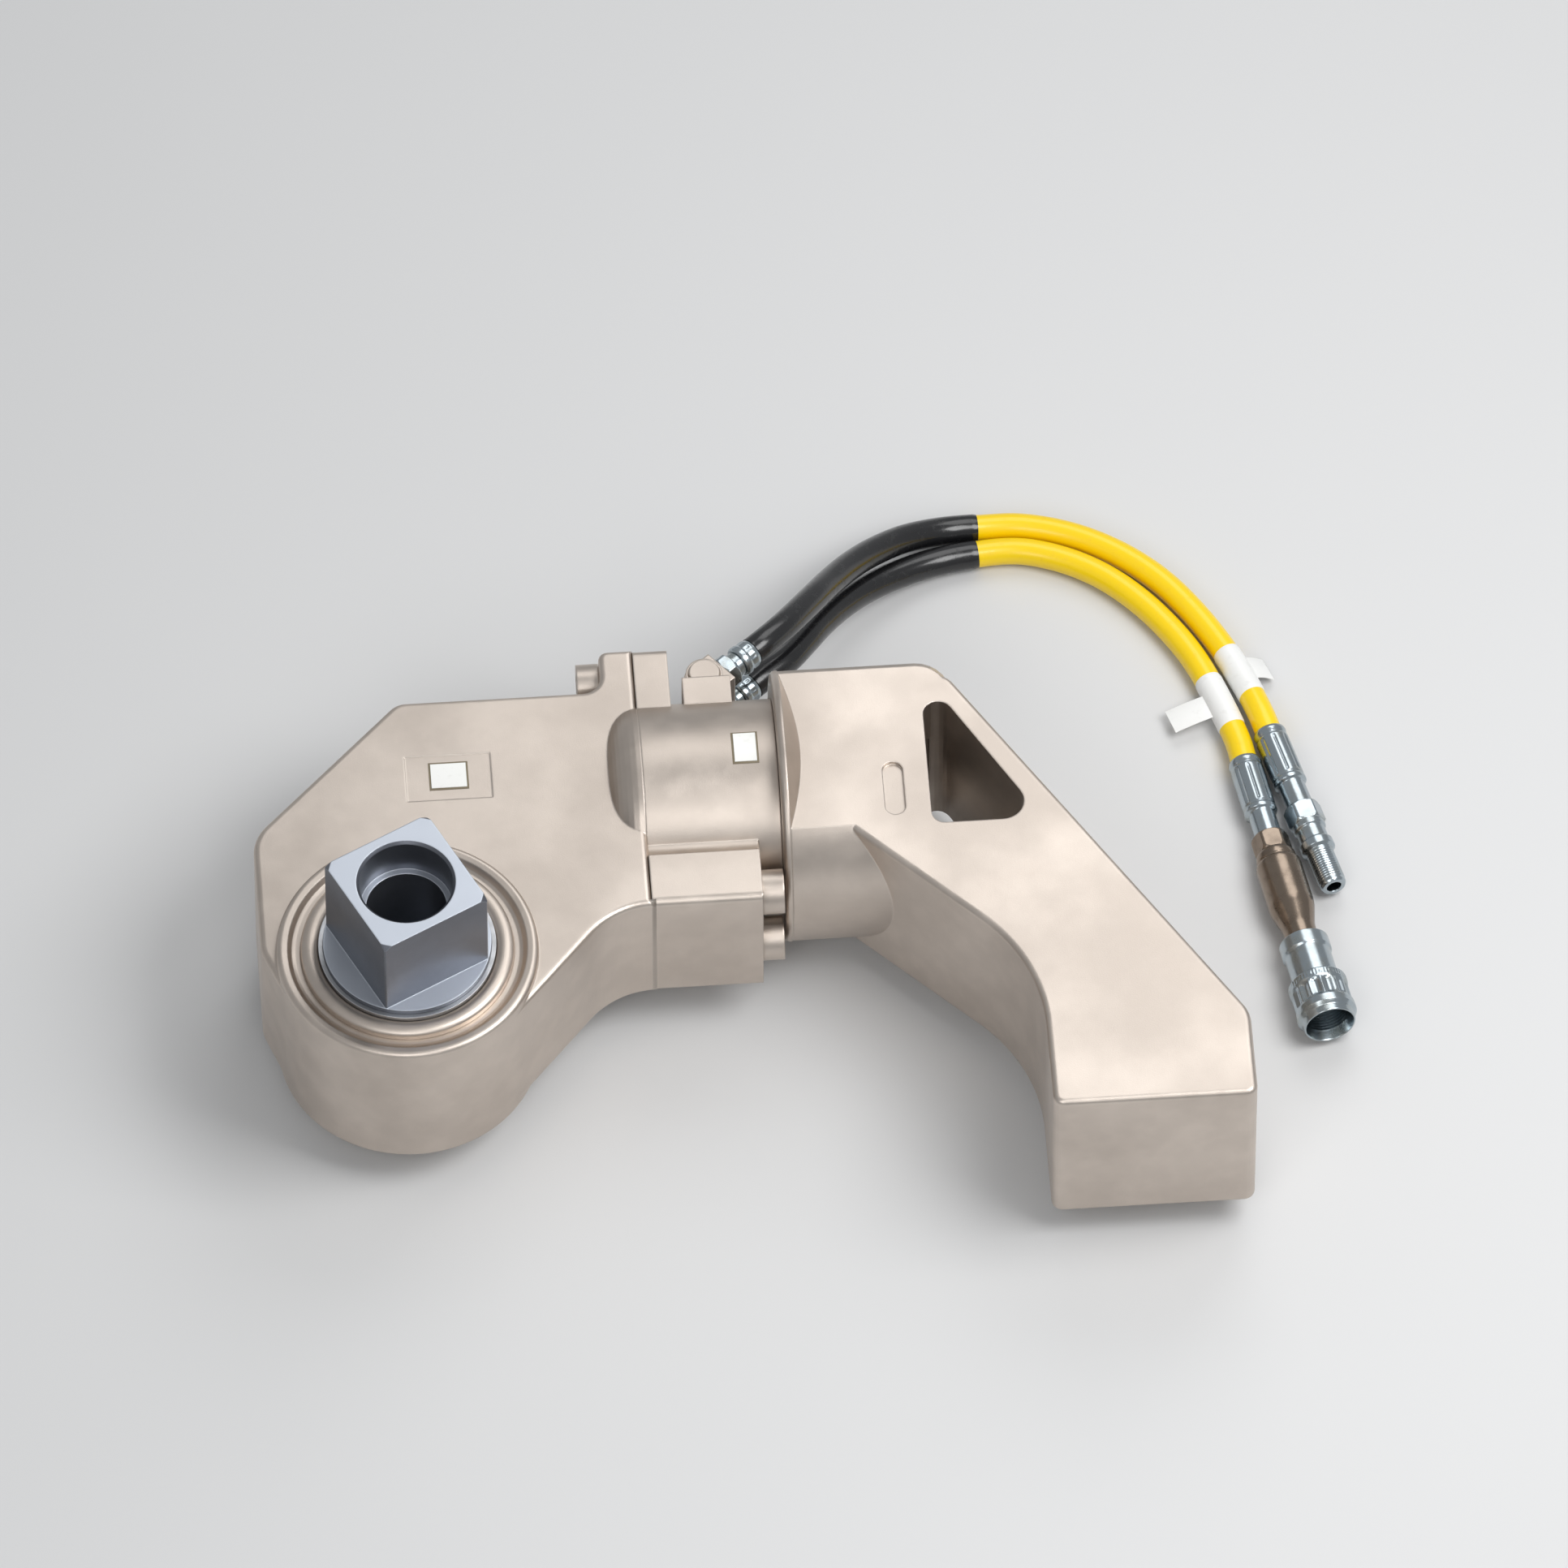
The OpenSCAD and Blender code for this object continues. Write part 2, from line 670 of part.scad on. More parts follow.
module swivel_bracket() color(nickel) difference() {
  union() {
    translate([pivot[0] - pad_w / 2, lever, screw_heights[1] - pad_screw_wall])
      cube([pad_w, pad_face - lever, screw_heights[0] - screw_heights[1] + 2 * pad_screw_wall]);
    for (z = [fork_high_z, fork_low_z]) translate([0, 0, z]) {
      translate(pivot) cylinder(r = fork_r, h = fork_t);
      translate([pivot[0] - fork_r, pad_face - pad_t, 0])
        cube([2 * fork_r, pivot[1] - pad_face + pad_t, fork_t]);
    }
  }
  along_cylinder(seam_x) cylinder(r = barrel_r + seat_gap, h = barrel_len);
  translate([pivot[0], pivot[1], fork_low_z - 20]) cylinder(r = swivel_bore_r + seat_gap, h = 200);
  pad_screws_at() {
    cylinder(r = pad_screw_r + seat_gap, h = 40);
    translate([0, 0, -20]) cylinder(r = pad_head_r + side_gap, h = 20);
  }
}

module bracket_screws() color(steel)
  pad_screws_at() cap_screw(pad_screw_r - seat_gap, pad_head_r, pad_head_h, pad_screw_len);

module swivel_bolt() color(nickel) translate([pivot[0], pivot[1], 0]) difference() {
  union() {
    translate([0, 0, fork_low_z - 8]) cylinder(r = swivel_bore_r, h = fork_high_z + fork_t - fork_low_z + 9);
    translate([0, 0, fork_high_z + fork_t]) cylinder(r1 = fork_r - 1, r2 = fork_r - 2, h = 2);
  }
  translate([0, 0, fork_low_z - 9]) cylinder(r = swivel_bore_r / 2, h = block_high_z - fork_low_z);
}

module swivel_nut() color(steel) translate([pivot[0], pivot[1], fork_low_z - 6]) difference() {
  cylinder(r = fork_r, h = 6, $fn = 6);
  translate([0, 0, -1]) cylinder(r = swivel_bore_r + seat_gap, h = 8);
}

module drive_spindle() color(phosphate) difference() {
  union() {
    translate([0, 0, ratchet_half]) cylinder(r = journal_r, h = shoulder_z - ratchet_half);
    translate([0, 0, -ratchet_half - 0.01]) linear_extrude(2 * ratchet_half + 0.02)
      spline(lower_journal_r, spindle_spline_r, 24);
    translate([0, 0, lower_end]) cylinder(r = lower_journal_r, h = -lower_end);
    square_end_shape();
  }
  translate([0, 0, square_end - end_bore_depth]) cylinder(r = end_bore_d / 2, h = end_bore_depth + 1);
  translate([0, 0, square_end - end_bore_depth - core_bore_depth]) cylinder(r = core_bore_d / 2, h = 200);
  translate([0, 0, square_end - 1.5]) cylinder(r1 = end_bore_d / 2, r2 = end_bore_d / 2 + 2, h = 2);
  translate([0, 0, lower_end - 1]) cylinder(r = button_flange_r + 1, h = button_pocket + 1);
  cap_screws_at() cylinder(r = cap_screw_r, h = 20);
}

// Square with its corners turned down to the journal and its end chamfered, set 27 degrees round
module square_end_shape() {
  rotate(27) intersection() {
    translate([-square_af / 2, -square_af / 2, shoulder_z - 1]) cube([square_af, square_af, square_len + 1]);
    translate([0, 0, shoulder_z - 1]) cylinder(r = square_af * 0.7, h = square_len + 1);
    translate([0, 0, square_end - 100]) cylinder(r1 = square_af * 0.66 + 100, r2 = square_af * 0.66, h = 100);
  }
}

module ratchet_wheel() color(steel)
translate([0, 0, -ratchet_half]) linear_extrude(2 * ratchet_half) difference() {
  polygon([for (i = [0:ratchet_teeth - 1])
    each [polar(root_r, i * pitch_angle), polar(ratchet_r, i * pitch_angle)]]);
  spline(lower_journal_r, spindle_spline_r, 24, run_gap);
}

module cap_screws_at() {
  for (i = [0:5]) rotate(i * 60) translate([cap_screw_ring, 0, lower_end]) children();
}

module retainer_cap() color(nickel) difference() {
  translate([0, 0, lower_end - cap_t]) rotate_extrude() polygon([
    [0, 0], [cap_r - 3, 0], [cap_r, 3], [cap_r, cap_t], [0, cap_t]
  ]);
  translate([0, 0, lower_end - cap_t - 1]) cylinder(r = button_r + run_gap, h = cap_t + 2);
  cap_screws_at() translate([0, 0, -20]) cylinder(r = cap_screw_r + seat_gap, h = 30);
  cap_screws_at() translate([0, 0, -cap_t - 1]) cylinder(r = 6.6, h = 7);
}

module retainer_screws() color(steel) cap_screws_at() difference() {
  union() {
    translate([0, 0, -4]) cylinder(r = cap_screw_r - seat_gap, h = 20);
    translate([0, 0, -cap_t + 0.5]) cylinder(r = 6.4, h = 5.5);
  }
  translate([0, 0, -cap_t - 1]) cylinder(r = 3.5, h = 4, $fn = 6);
}

module retainer_button() color(steel) {
  translate([0, 0, lower_end + side_gap]) cylinder(r = button_flange_r, h = button_flange_t);
  translate([0, 0, lower_end - cap_t - button_proud])
    cylinder(r = button_r, h = cap_t + button_proud + side_gap + 1);
}

// Helical spring with its axis along Z
module coil(r, wire, h, turns) {
  steps = 14 * turns;
  route = [for (i = [0:steps]) concat(polar(r, 360 * turns * i / steps), h * i / steps)];
  tube(route, wire, 0, steps, 6);
}

module button_spring() color(steel)
  translate([0, 0, lower_end + side_gap + button_flange_t + 1.3])
    coil(11, 1.8, button_pocket - button_flange_t - side_gap - 2.8, 3);

module drive_plate(journal) {
  difference() {
    linear_extrude(plate_t) rotate(crank_start) link(hub_r, crank_eye_r, lever);
    translate([0, 0, -1]) cylinder(r = journal + run_gap, h = plate_t + 2);
    holes = [concat(crank_pin_at, crank_pin_r), concat(drive_pawl_at, pawl_pin_r), concat(post_at, post_r)];
    for (hole = holes)
      translate([hole[0], hole[1], -1]) cylinder(r = hole[2] + seat_gap, h = plate_t + 2);
  }
}

module upper_drive_plate() color(steel) translate([0, 0, plate_z]) drive_plate(journal_r);

module lower_drive_plate() color(steel) translate([0, 0, -plate_z - plate_t]) drive_plate(lower_journal_r);

module cross_pin(at, r) {
  translate([at[0], at[1], -plate_z - plate_t]) cylinder(r = r, h = 2 * (plate_z + plate_t));
}

module crank_pin() color(steel) cross_pin(crank_pin_at, crank_pin_r);

module pawl_pin() color(steel) cross_pin(drive_pawl_at, pawl_pin_r);

module spring_post() color(steel) cross_pin(post_at, post_r);

// Leaf from the spring post to the back of the drive pawl
module drive_pawl_spring() color(steel) translate([0, 0, -8]) linear_extrude(16) {
  foot = polar(ratchet_r + 10.6, drive_tooth - 4);
  d = heading_of(post_at, foot);
  start = post_at + d * (post_r + 0.1);
  polygon([
    start + left_of(d) * 0.5, start - left_of(d) * 0.5, foot - left_of(d) * 0.5, foot + left_of(d) * 0.5
  ]);
}

module drive_pawl() color(steel) translate([0, 0, -pawl_half]) pawl(drive_pawl_at, drive_tooth, 9);

// Drawn riding clear of the tooth tips
module holding_pawl() color(steel) translate([holding_pawl_at[0], holding_pawl_at[1], -pawl_half])
  rotate(-holding_lift) translate(-holding_pawl_at) pawl(holding_pawl_at, holding_tooth, 5.5);

module piston() color(steel) along_cylinder(piston_back_x) difference() {
  cylinder(r = bore_r - run_gap, h = piston_len);
  translate([0, 0, -1]) cylinder(r = spigot_r + seat_gap, h = piston_len);
  translate([0, 0, piston_len - nut_pocket]) cylinder(r = 24, h = nut_pocket + 1);
  translate([0, 0, seal_at]) ring(bore_r + 2, bore_r - 5, seal_t);
  translate([0, 0, wear_at]) ring(bore_r + 2, bore_r - 5, wear_t);
}

module piston_seal() color(seal_green) along_cylinder(piston_back_x + seal_at)
  ring(bore_r - 2 * run_gap, bore_r - 5, seal_t);

module wear_ring() color(bronze) along_cylinder(piston_back_x + wear_at)
  ring(bore_r - 2 * run_gap, bore_r - 5, wear_t);

module piston_rod() color(zinc) difference() {
  union() {
    along_cylinder(rod_shank_x - 6) cylinder(r = rod_r, h = piston_back_x - rod_shank_x + 6);
    along_cylinder(piston_back_x - 1) cylinder(r = spigot_r, h = piston_len - 1.5);
    translate([crank_pin_at[0], lever, -rod_end_half]) cylinder(r = rod_end_r, h = 2 * rod_end_half);
    translate([crank_pin_at[0], lever - rod_shank_half, -rod_end_half + 4])
      cube([rod_shank_x - crank_pin_at[0], 2 * rod_shank_half, 2 * rod_end_half - 8]);
  }
  translate([0, 0, -rod_end_half - 1]) linear_extrude(2 * rod_end_half + 2) {
    slot_r = crank_pin_r + 0.2;
    translate([crank_pin_at[0], crank_pin_at[1] - 0.2]) circle(slot_r);
    translate([crank_pin_at[0], lever + 0.2]) circle(slot_r);
    translate([crank_pin_at[0] - slot_r, crank_pin_at[1]]) square([2 * slot_r, lever - crank_pin_at[1]]);
  }
}

module piston_nut() color(steel) along_cylinder(piston_face_x - nut_pocket) difference() {
  cylinder(r = 21, h = nut_t, $fn = 6);
  translate([0, 0, -1]) cylinder(r = spigot_r + seat_gap, h = nut_t + 2);
}

// Round body of the arm behind its rim; it dives under the back edge beside the window
module arm_barrel() {
  r = collar_r - 0.5;
  turn_at = window_left - 2 - collar_x;
  bend = [r - back_round, turn_at];
  core = arm_half - 22;
  far = turn_at + back_round * sin(back_dive)
    + (bend[0] + back_round * cos(back_dive) - core) / tan(back_dive);
  along_cylinder(collar_x) rotate_extrude() polygon(concat(
    [[0, 2], [r, 2]],
    [for (a = [0:back_dive / 5:back_dive + 0.1]) bend + back_round * [cos(a), sin(a)]],
    [[core, far], [0, far]]
  ));
}

module reaction_arm() color(nickel) difference() {
  union() {
    rounded_plate(arm_outline, arm_half, edge_r) arm_barrel();
    along_cylinder(collar_x) rotate_extrude() polygon(concat(
      [[0, 0]],
      [for (a = [0:30:90]) [collar_r - edge_r, edge_r] + edge_r * [sin(a), -cos(a)]],
      [[collar_r, rim_len], [arm_half - 1, rim_len + rim_blend], [0, rim_len + rim_blend]]
    ));
  }
  along_cylinder(collar_x - 1) linear_extrude(spline_len + 1)
    spline(spline_r - spline_h, spline_r, spline_teeth, side_gap);
  along_cylinder(spline_end - 1) cylinder(r = relief_r, h = window_left - spline_end + 5);
  translate([0, 0, -arm_half - 5]) linear_extrude(2 * arm_half + 10) polygon(rounded(window_outline));
  translate([slot_at[0], slot_at[1], arm_half - slot_depth]) linear_extrude(10) {
    square([slot_w, slot_len - slot_w], center = true);
    for (y = [-1, 1]) translate([0, y * (slot_len - slot_w) / 2]) circle(slot_w / 2);
  }
  lock_at() cylinder(r = lock_r + run_gap, h = collar_r);
  lock_at() translate([0, 0, lock_pocket]) cylinder(r = lock_head_r + side_gap, h = 40);
  lock_at() translate([0, 0, lock_face - lock_cap_t]) cylinder(r = lock_cap_r + seat_gap, h = 40);
}

// Radial axis of the arm lock, out of the back of the collar
module lock_at() {
  translate([lock_x, lever, 0]) rotate([-90, 0, 0]) children();
}

module lock_cap() color(steel) lock_at() translate([0, 0, lock_face - lock_cap_t])
  ring(lock_cap_r, lock_r + run_gap, lock_cap_t);

module lock_button() color(steel) lock_at() {
  translate([0, 0, lock_tip]) cylinder(r = lock_r, h = lock_face - lock_tip);
  translate([0, 0, lock_face - lock_cap_t - side_gap - lock_head_t])
    cylinder(r = lock_head_r, h = lock_head_t);
}

module lock_spring() color(steel) lock_at() translate([0, 0, lock_pocket + 0.8])
  coil(6.2, 1, lock_travel - 1.2, 2);

// Section of the swivel block: round at the pivot, square where the hoses leave it
module swivel_section() {
  circle(swivel_r);
  rotate(heading) translate([0, -swivel_half_w]) square([adapter_s, 2 * swivel_half_w]);
}

module swivel_block() color(nickel) difference() {
  translate([pivot[0], pivot[1], block_low_z]) linear_extrude(block_high_z - block_low_z) swivel_section();
  translate([pivot[0], pivot[1], block_low_z - 1]) cylinder(r = swivel_bore_r + run_gap, h = 200);
  for (z = seal_heights) translate([pivot[0], pivot[1], z])
    cylinder(r = swivel_bore_r + seal_wall, h = seal_h);
}

module swivel_seals() color(rubber) for (z = seal_heights)
  translate([pivot[0], pivot[1], z]) ring(swivel_bore_r + seal_wall, swivel_bore_r + 2 * run_gap, seal_h);

// Places where the two hoses leave the swivel block, with Z along the hose
module hose_exits_at(s) {
  for (side = [-1, 1])
    along_floor(concat(pivot + s * ahead, manifold_z + side * hose_pitch / 2), heading) children();
}

module hose_adapters() color(zinc) hose_exits_at(adapter_s) {
  cylinder(r = 10, h = 7, $fn = 6);
  cylinder(r = 7, h = ferrule_s - adapter_s);
}

module manifold_ferrules() color(zinc) hose_exits_at(ferrule_s) rotate_extrude() polygon([
  [0, 0], [8, 0], [8.8, 1], [8.8, 4], [8.2, 5], [8.2, 9], [7.4, 11], [0, 11]
]);

module front_guard() color(rubber) tube(front_route, guard_d, 0, guard_points);

module front_hose() color(yellow) tube(front_route, hose_d, guard_points, len(front_route) - 1);

module rear_guard() color(rubber) tube(rear_route, guard_d, 0, guard_points);

module rear_hose() color(yellow) tube(rear_route, hose_d, guard_points, len(rear_route) - 1);

module end_ferrule() {
  rotate_extrude() polygon([
    [0, 0], [7.8, 0], [8.6, 1], [ferrule_r, 3], [ferrule_r, 36], [7.4, 38], [7.4, ferrule_len], [0, ferrule_len]
  ]);
}

module end_ferrules() color(zinc) {
  along_floor(front_end, front_heading, front_rise) end_ferrule();
  along_floor(rear_end, rear_heading) end_ferrule();
}

module coupler_body() color(coupler_nickel) along_floor(front_end, front_heading, front_rise) {
  translate([0, 0, ferrule_len]) cylinder(r = 10.5, h = body_start - ferrule_len, $fn = 6);
  translate([0, 0, body_start]) rotate_extrude() polygon([
    [0, 0], [12, 0], [13, 1], [13, body_len - 16], [spin_r, body_len - 15], [spin_r, body_len], [0, body_len]
  ]);
}

module coupler_collar() color(zinc)
along_floor(front_end, front_heading, front_rise) translate([0, 0, collar_start]) difference() {
  rotate_extrude() polygon([
    [0, 0], [15, 0], [16, 1], [16, 6.5], [15, 7.5], [14, 8.5], [14, 30], [15.6, 31], [16.4, 32], [16.4, 48],
    [15.6, 49], [14.2, 50], [14.2, collar_len - 3], [13.4, collar_len], [0, collar_len]
  ]);
  translate([0, 0, -1]) cylinder(r = spin_r + run_gap, h = 16);
  translate([0, 0, collar_len - mouth_depth]) cylinder(r = mouth_r, h = mouth_depth + 1);
  cylinder(r = 4, h = collar_len);
}

module male_nipple() color(zinc)
along_floor(rear_end, rear_heading) translate([0, 0, ferrule_len]) difference() {
  union() {
    cylinder(r = 10.5, h = 12, $fn = 6);
    rotate_extrude() polygon([
      [0, 0], [9, 0], [9, 15], [8, 16], [8, 24], [9.4, 25], [9.4, 29], [7.5, 31],
      [7.5, nipple_len + 11], [6.5, nipple_len + 12], [0, nipple_len + 12]
    ]);
  }
  translate([0, 0, 20]) cylinder(r = 4, h = 60);
}

drive_housing();
cylinder_housing();
housing_bolts();
locating_dowels();
upper_bush();
upper_cover_ring();
lower_bush();
lower_cover_ring();
holding_pawl_pin();
holding_pawl_spring();
gland();
rod_seal();
gland_o_ring();
end_cap();
end_cap_o_ring();
swivel_bracket();
bracket_screws();
swivel_bolt();
swivel_nut();
drive_spindle();
ratchet_wheel();
retainer_cap();
retainer_screws();
retainer_button();
button_spring();
upper_drive_plate();
lower_drive_plate();
crank_pin();
pawl_pin();
spring_post();
drive_pawl_spring();
drive_pawl();
holding_pawl();
piston();
piston_seal();
wear_ring();
piston_rod();
piston_nut();
reaction_arm();
lock_cap();
lock_button();
lock_spring();
swivel_block();
swivel_seals();
hose_adapters();
manifold_ferrules();
front_guard();
front_hose();
rear_guard();
rear_hose();
end_ferrules();
coupler_body();
coupler_collar();
male_nipple();
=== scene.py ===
"""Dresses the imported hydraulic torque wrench: hoses, fittings, tags, finishes, studio and camera.

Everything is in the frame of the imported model: the drive axis is Z and the cylinder lies along X.
Lengths are in metres. Fittings, plates and routes are written in millimetres and scaled by MM at their end.
"""

from __future__ import annotations

import json
import logging
import math
from dataclasses import dataclass, field
from enum import Enum
from typing import Any, Union

import bpy
import numpy as np
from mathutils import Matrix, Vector

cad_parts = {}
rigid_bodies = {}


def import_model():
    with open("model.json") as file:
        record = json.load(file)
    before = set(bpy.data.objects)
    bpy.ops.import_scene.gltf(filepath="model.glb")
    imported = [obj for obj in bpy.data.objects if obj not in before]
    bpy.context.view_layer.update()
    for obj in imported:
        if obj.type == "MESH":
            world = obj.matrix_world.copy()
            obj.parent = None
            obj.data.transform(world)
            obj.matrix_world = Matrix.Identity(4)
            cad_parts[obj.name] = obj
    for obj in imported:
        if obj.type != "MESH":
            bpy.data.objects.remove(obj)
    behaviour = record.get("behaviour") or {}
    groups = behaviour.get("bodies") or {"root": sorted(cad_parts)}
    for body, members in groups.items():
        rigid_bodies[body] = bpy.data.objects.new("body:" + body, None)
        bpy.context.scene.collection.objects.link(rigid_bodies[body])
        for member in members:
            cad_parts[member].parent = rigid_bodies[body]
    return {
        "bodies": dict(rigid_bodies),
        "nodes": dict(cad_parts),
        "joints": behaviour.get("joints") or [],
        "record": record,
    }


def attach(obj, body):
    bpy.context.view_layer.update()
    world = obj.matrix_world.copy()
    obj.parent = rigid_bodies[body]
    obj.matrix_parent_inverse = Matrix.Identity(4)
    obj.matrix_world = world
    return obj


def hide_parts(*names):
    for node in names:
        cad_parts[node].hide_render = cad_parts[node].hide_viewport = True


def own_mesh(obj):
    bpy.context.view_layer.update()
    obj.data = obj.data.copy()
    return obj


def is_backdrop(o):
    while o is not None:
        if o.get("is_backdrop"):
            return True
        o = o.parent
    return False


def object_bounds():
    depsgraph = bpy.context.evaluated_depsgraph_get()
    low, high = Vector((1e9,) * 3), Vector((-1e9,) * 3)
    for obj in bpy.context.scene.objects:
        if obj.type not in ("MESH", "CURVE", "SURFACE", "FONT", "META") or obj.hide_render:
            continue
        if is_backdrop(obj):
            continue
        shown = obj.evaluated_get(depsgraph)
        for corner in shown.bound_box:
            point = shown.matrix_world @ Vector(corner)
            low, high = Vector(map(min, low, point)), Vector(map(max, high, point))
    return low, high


LOG = logging.getLogger("torque_wrench")
MM = 0.001
# Largest angle, in degrees, between two faces that still shade as one surface
SMOOTH_ANGLE = 38.0
# Room between the floor and the lowest point of the tool
FLOOR_GAP = 0.2 * MM
Colour = tuple[float, float, float]
Number = Union[int, float]


class Slot(Enum):
    """Material slots of the record."""

    NICKEL = "nickel_plate"
    PHOSPHATE = "phosphate_steel"
    STEEL = "steel"
    BRONZE = "bronze"
    ZINC = "zinc_plate"
    COUPLER = "coupler_plate"
    RUBBER = "black_rubber"
    HOSE = "yellow_hose"
    SEAL = "seal_green"


class Trim(Enum):
    """Finishes that only the scene has."""

    TAG = "tag_vinyl"
    PLATE = "plate_enamel"
    # Dark sheet under a plate: painted shadow round the plate's edge
    PAINTED_SHADOW = "plate_painted_shadow"


class Socket:
    """An output socket of a shader tree that takes part in Python arithmetic."""

    def __init__(self, tree: "ShaderTree", out: bpy.types.NodeSocket) -> None:
        """Keeps the tree and the socket.

        Args:
            tree: Tree that the socket belongs to.
            out: Output socket of a node.
        """
        self.tree = tree
        self.out = out

    def __add__(self, other: "Value") -> "Socket":
        """Sum."""
        return self.tree.math("ADD", self, other)

    def __radd__(self, other: Number) -> "Socket":
        """Sum with a number on the left."""
        return self.tree.math("ADD", other, self)

    def __sub__(self, other: "Value") -> "Socket":
        """Difference."""
        return self.tree.math("SUBTRACT", self, other)

    def __rsub__(self, other: Number) -> "Socket":
        """Difference with a number on the left."""
        return self.tree.math("SUBTRACT", other, self)

    def __mul__(self, other: "Value") -> "Socket":
        """Product."""
        return self.tree.math("MULTIPLY", self, other)

    def clamp(self) -> "Socket":
        """Value kept between 0 and 1."""
        return self.tree.math("ADD", self, 0.0, use_clamp=True)


Value = Union[Socket, Number]


class ShaderTree:
    """A material's node tree, with one method that adds any node."""

    def __init__(self, name: str) -> None:
        """Makes an empty node material.

        Args:
            name: Name of the material.
        """
        self.material = bpy.data.materials.new(name)
        self.material.use_nodes = True
        self.nodes = self.material.node_tree.nodes
        self.links = self.material.node_tree.links
        self.nodes.clear()
        self.position = self.node("ShaderNodeTexCoord", out="Object")

    def node(self, kind: str, settings: dict[str, Any] | None = None, out: str | int = 0,
             **inputs: Any) -> Socket:
        """Adds a node, sets it up and links its inputs.

        Args:
            kind: Blender's type name of the node.
            settings: Attributes of the node, set before its sockets.
            out: Name or number of the output that is returned.
            **inputs: Values or sockets by input name, with spaces written as underscores.

        Returns:
            The chosen output.
        """
        made = self.nodes.new(kind)
        for key, value in (settings or {}).items():
            setattr(made, key, value)
        for key, value in inputs.items():
            self.feed(made.inputs[key.replace("_", " ")], value)
        return Socket(self, made.outputs[out]) if len(made.outputs) else Socket(self, None)

    def feed(self, socket: bpy.types.NodeSocket, value: Any) -> None:
        """Links a socket or sets its value.

        Args:
            socket: Input socket.
            value: A Socket, a number, a colour or a vector.
        """
        if isinstance(value, Socket):
            self.links.new(value.out, socket)
        elif isinstance(value, tuple) and socket.type == "RGBA" and len(value) == 3:
            socket.default_value = (*value, 1.0)
        else:
            socket.default_value = value

    def math(self, operation: str, a: Value, b: Value, use_clamp: bool = False) -> Socket:
        """Adds a Math node.

        Args:
            operation: Its operation.
            a: First value.
            b: Second value.
            use_clamp: Whether the result is kept between 0 and 1.

        Returns:
            Its result.
        """
        made = self.nodes.new("ShaderNodeMath")
        made.operation = operation
        made.use_clamp = use_clamp
        self.feed(made.inputs[0], a)
        self.feed(made.inputs[1], b)
        return Socket(self, made.outputs[0])

    def mix(self, factor: Value, a: Any, b: Any) -> Socket:
        """Mixes two colours.

        Args:
            factor: Share of the second colour.
            a: First colour.
            b: Second colour.

        Returns:
            The mixed colour.
        """
        made = self.nodes.new("ShaderNodeMix")
        made.data_type = "RGBA"
        self.feed(made.inputs[0], factor)
        self.feed(made.inputs[6], a)
        self.feed(made.inputs[7], b)
        return Socket(self, made.outputs[2])

    def noise(self, scale: float, detail: float) -> Socket:
        """Noise over Object coordinates.

        Args:
            scale: Cells per metre.
            detail: Octaves.

        Returns:
            A value around 0.5.
        """
        return self.node("ShaderNodeTexNoise", Vector=self.position, Scale=scale, Detail=detail)

    def band(self, value: Socket, low: float, high: float) -> Socket:
        """Stretches low..high to 0..1, smoothly.

        Args:
            value: Value to stretch.
            low: Value that becomes 0.
            high: Value that becomes 1.

        Returns:
            The stretched value.
        """
        return self.node("ShaderNodeMapRange", {"interpolation_type": "SMOOTHSTEP"}, Value=value,
                         From_Min=low, From_Max=high)

    def edge(self, radius: float) -> tuple[Socket, Socket]:
        """Rounded normal and a mask of the edges that it rounds.

        Args:
            radius: Radius of the rounding.

        Returns:
            The normal, and a mask that is 0 on flats and grows towards edges.
        """
        normal = self.node("ShaderNodeBevel", {"samples": 6}, Radius=radius)
        true = self.node("ShaderNodeNewGeometry", out="Normal")
        dot = self.node("ShaderNodeVectorMath", {"operation": "DOT_PRODUCT"}, out="Value")
        made = dot.out.node
        self.feed(made.inputs[0], normal)
        self.feed(made.inputs[1], true)
        return normal, (1 - dot).clamp()

    def surface(self, **inputs: Any) -> bpy.types.Material:
        """Ends the tree with a Principled shader.

        Args:
            **inputs: Values or sockets by input name, with spaces written as underscores.

        Returns:
            The material.
        """
        shader = self.node("ShaderNodeBsdfPrincipled", **inputs)
        self.node("ShaderNodeOutputMaterial", Surface=shader)
        return self.material


@dataclass(frozen=True)
class BlastedPlate:
    """Satin plate over a blasted surface, with cloudy tone, fine grain and a painted highlight along its
    edges.

    Where a painted top light colour is given, surfaces that look straight up have it: painted light on the
    faces that the lamps above light most.
    """

    name: str
    colour: Colour
    shade: Colour
    edge_highlight: Colour
    roughness: float
    rounding: float = 0.0012
    grain: float = 0.10
    metallic: float = 1.0
    painted_top_light: Colour | None = None

    def make(self) -> bpy.types.Material:
        """Builds the material."""
        tree = ShaderTree(self.name)
        normal, edge = tree.edge(self.rounding)
        cloud = tree.band(tree.noise(14.0, 4.0), 0.32, 0.70)
        patch = tree.band(tree.noise(70.0, 3.0), 0.35, 0.72)
        speck = tree.noise(1500.0, 2.0)
        base = tree.mix(cloud * 0.65 + patch * 0.35, self.shade, self.colour)
        # Painted light: surfaces facing straight up are made lighter, as tops lit from above
        if self.painted_top_light:
            normals = tree.node("ShaderNodeTexCoord", out="Normal")
            upright = tree.node("ShaderNodeSeparateXYZ", out="Z", Vector=normals)
            base = tree.mix(tree.band(upright, 0.90, 0.97), base, self.painted_top_light)
        # Painted highlight: edges mixed towards a lighter colour, as rounded edges that catch the lamps
        colour = tree.mix((edge * 5.0).clamp() * 0.55, base, self.edge_highlight)
        rough = self.roughness + (cloud - 0.5) * -0.07 + (patch - 0.5) * 0.05 + (speck - 0.5) * 0.12
        bump = tree.node("ShaderNodeBump", Strength=self.grain, Distance=0.0004, Height=speck, Normal=normal)
        return tree.surface(Base_Color=colour, Roughness=rough, Metallic=self.metallic, Normal=bump)


